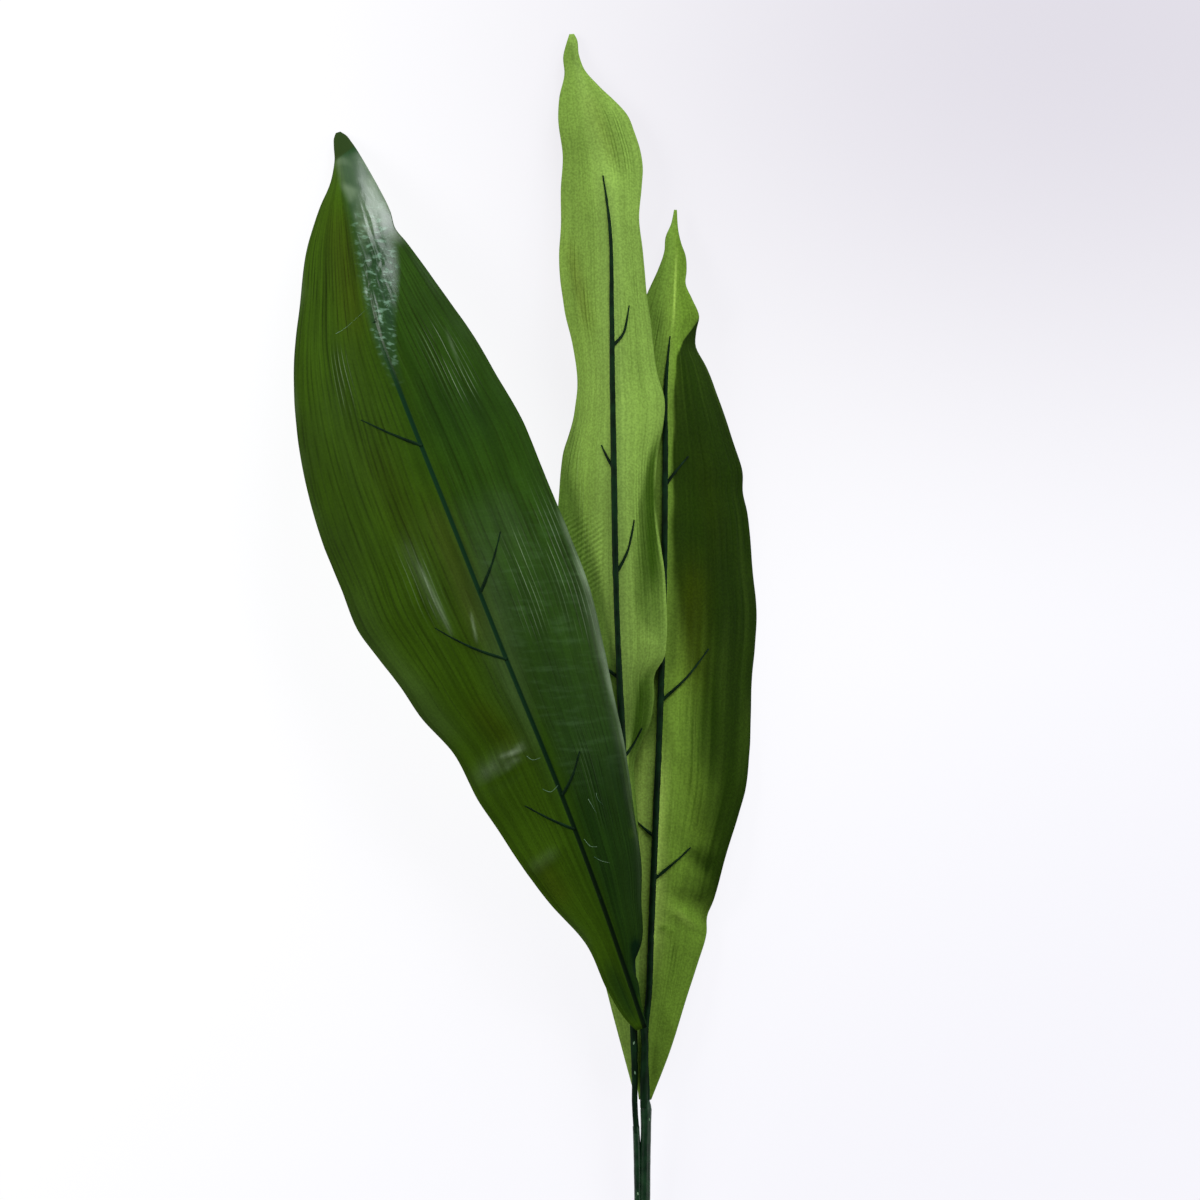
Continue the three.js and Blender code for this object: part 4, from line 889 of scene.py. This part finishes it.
# Drawn steel: bright, with fine lines down its length. It shows only at the cut end of the stem.
drawnSteel, tree, shader, spot = newMaterial("drawnSteelWire")
stretch = addNode(tree, "ShaderNodeMapping", inputs={"Vector": spot, "Scale": (9000, 90, 9000)})
lines = addNode(tree, "ShaderNodeTexNoise", inputs={"Vector": stretch.outputs[0], "Scale": 1})
shine = addNode(tree, "ShaderNodeMapRange", inputs={0: lines.outputs[0], 3: 0.22, 4: 0.42})
feed(tree, shader, {"Base Color": linear("#A9ABAD"), "Metallic": 1, "Roughness": shine.outputs[0]})
for leaf in leaves:
    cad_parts[leaf["node"] + "_wire"].material_slots[0].material = drawnSteel
print("pieces made")


# Stage: a pale sheet of paper with three soft lights: left, right, and low past the tips.
paper, tree, shader, spot = newMaterial("paleBackdropPaper")
put = partial(addPart, tree)
across, upwards, _ = addNode(tree, "ShaderNodeSeparateXYZ", inputs={0: spot}).outputs
fade = put("times", put("ramp", upwards, 0.02, 0.36), put("ramp", across, -0.22, 0.3))
slope = addNode(tree, "ShaderNodeVectorMath", {"operation": "DOT_PRODUCT"}, {0: spot, 1: (0.7, -0.7, 0)})
slope = put("ramp", slope.outputs["Value"], -0.15, 0.35)
glow = put("blend", slope, linear("#EAEAEB"), linear("#E0DFE5"))
glow = put("blend", fade, glow, linear("#C7C3CC"))
# a light table: its own light keeps the shadows faint
feed(tree, shader, {"Base Color": linear("#5C5C5E"), "Roughness": 0.9, "Specular IOR Level": 0.1,
                    "Emission Color": glow, "Emission Strength": 1.12})
floorShape = {"reach": 5, "height": -0.0005}
floorCorners = [(x * floorShape["reach"], y * floorShape["reach"], floorShape["height"])
                for x, y in ((-1, -1), (1, -1), (1, 1), (-1, 1))]
floorMesh = bpy.data.meshes.new("paleFloor")
floorMesh.from_pydata(floorCorners, [], [(0, 1, 2, 3)])
floorMesh.materials.append(paper)
floor = addObject("paleFloor", floorMesh)

middle = (0.02, 0.06, 0.03)
lamps = {
    "leftSoftbox": {"towards": (-0.8, 0.2, 0.56), "away": 2.6, "size": (1.7, 1.3),
                    "power": 43, "colour": (1, 0.99, 0.95)},
    "rightSoftbox": {"towards": (0.84, -0.1, 0.52), "away": 2.6, "size": (1.5, 1.2),
                     "power": 26, "colour": (1, 0.99, 0.97)},
    "tipSoftbox": {"towards": (0.27, 0.84, 0.43), "away": 2.3, "size": (1.2, 1),
                   "power": 46, "colour": (0.93, 0.97, 1)},
}
for name, lamp in lamps.items():
    data = bpy.data.lights.new(name, "AREA")
    data.shape = "RECTANGLE"
    data.size, data.size_y = lamp["size"]
    data.energy = lamp["power"]
    data.color = lamp["colour"]
    light = addObject(name, data)
    away = np.array(lamp["towards"]) / np.linalg.norm(lamp["towards"])
    light.location = np.array(middle) + away * lamp["away"]
    right = np.cross((0, 0, 1), away) / np.linalg.norm(np.cross((0, 0, 1), away))
    turned = np.stack([right, np.cross(away, right), away], -1)
    light.rotation_euler = Matrix(turned.tolist()).to_euler()

world = bpy.data.worlds.new("paleRoom")
bpy.context.scene.world = world
world.use_nodes = True
feed(world.node_tree, world.node_tree.nodes["Background"], {"Color": linear("#E9ECF5"), "Strength": 0.13})

# The camera looks straight down: 600 mm of the surface fill the frame.
cameraView = {"x": 0.0372, "y": 0.0655, "height": 5, "frame": 0.6, "focus": 0.03}
cameraData = bpy.data.cameras.new("overhead")
cameraData.sensor_width = 36
cameraData.lens = 36 * (cameraView["height"] - cameraView["focus"]) / cameraView["frame"]
cameraData.clip_end = 50
camera = addObject("overhead", cameraData)
camera.location = (cameraView["x"], cameraView["y"], cameraView["height"])
bpy.context.scene.camera = camera
bpy.context.scene.view_settings.view_transform = "Standard"
print("stage set")
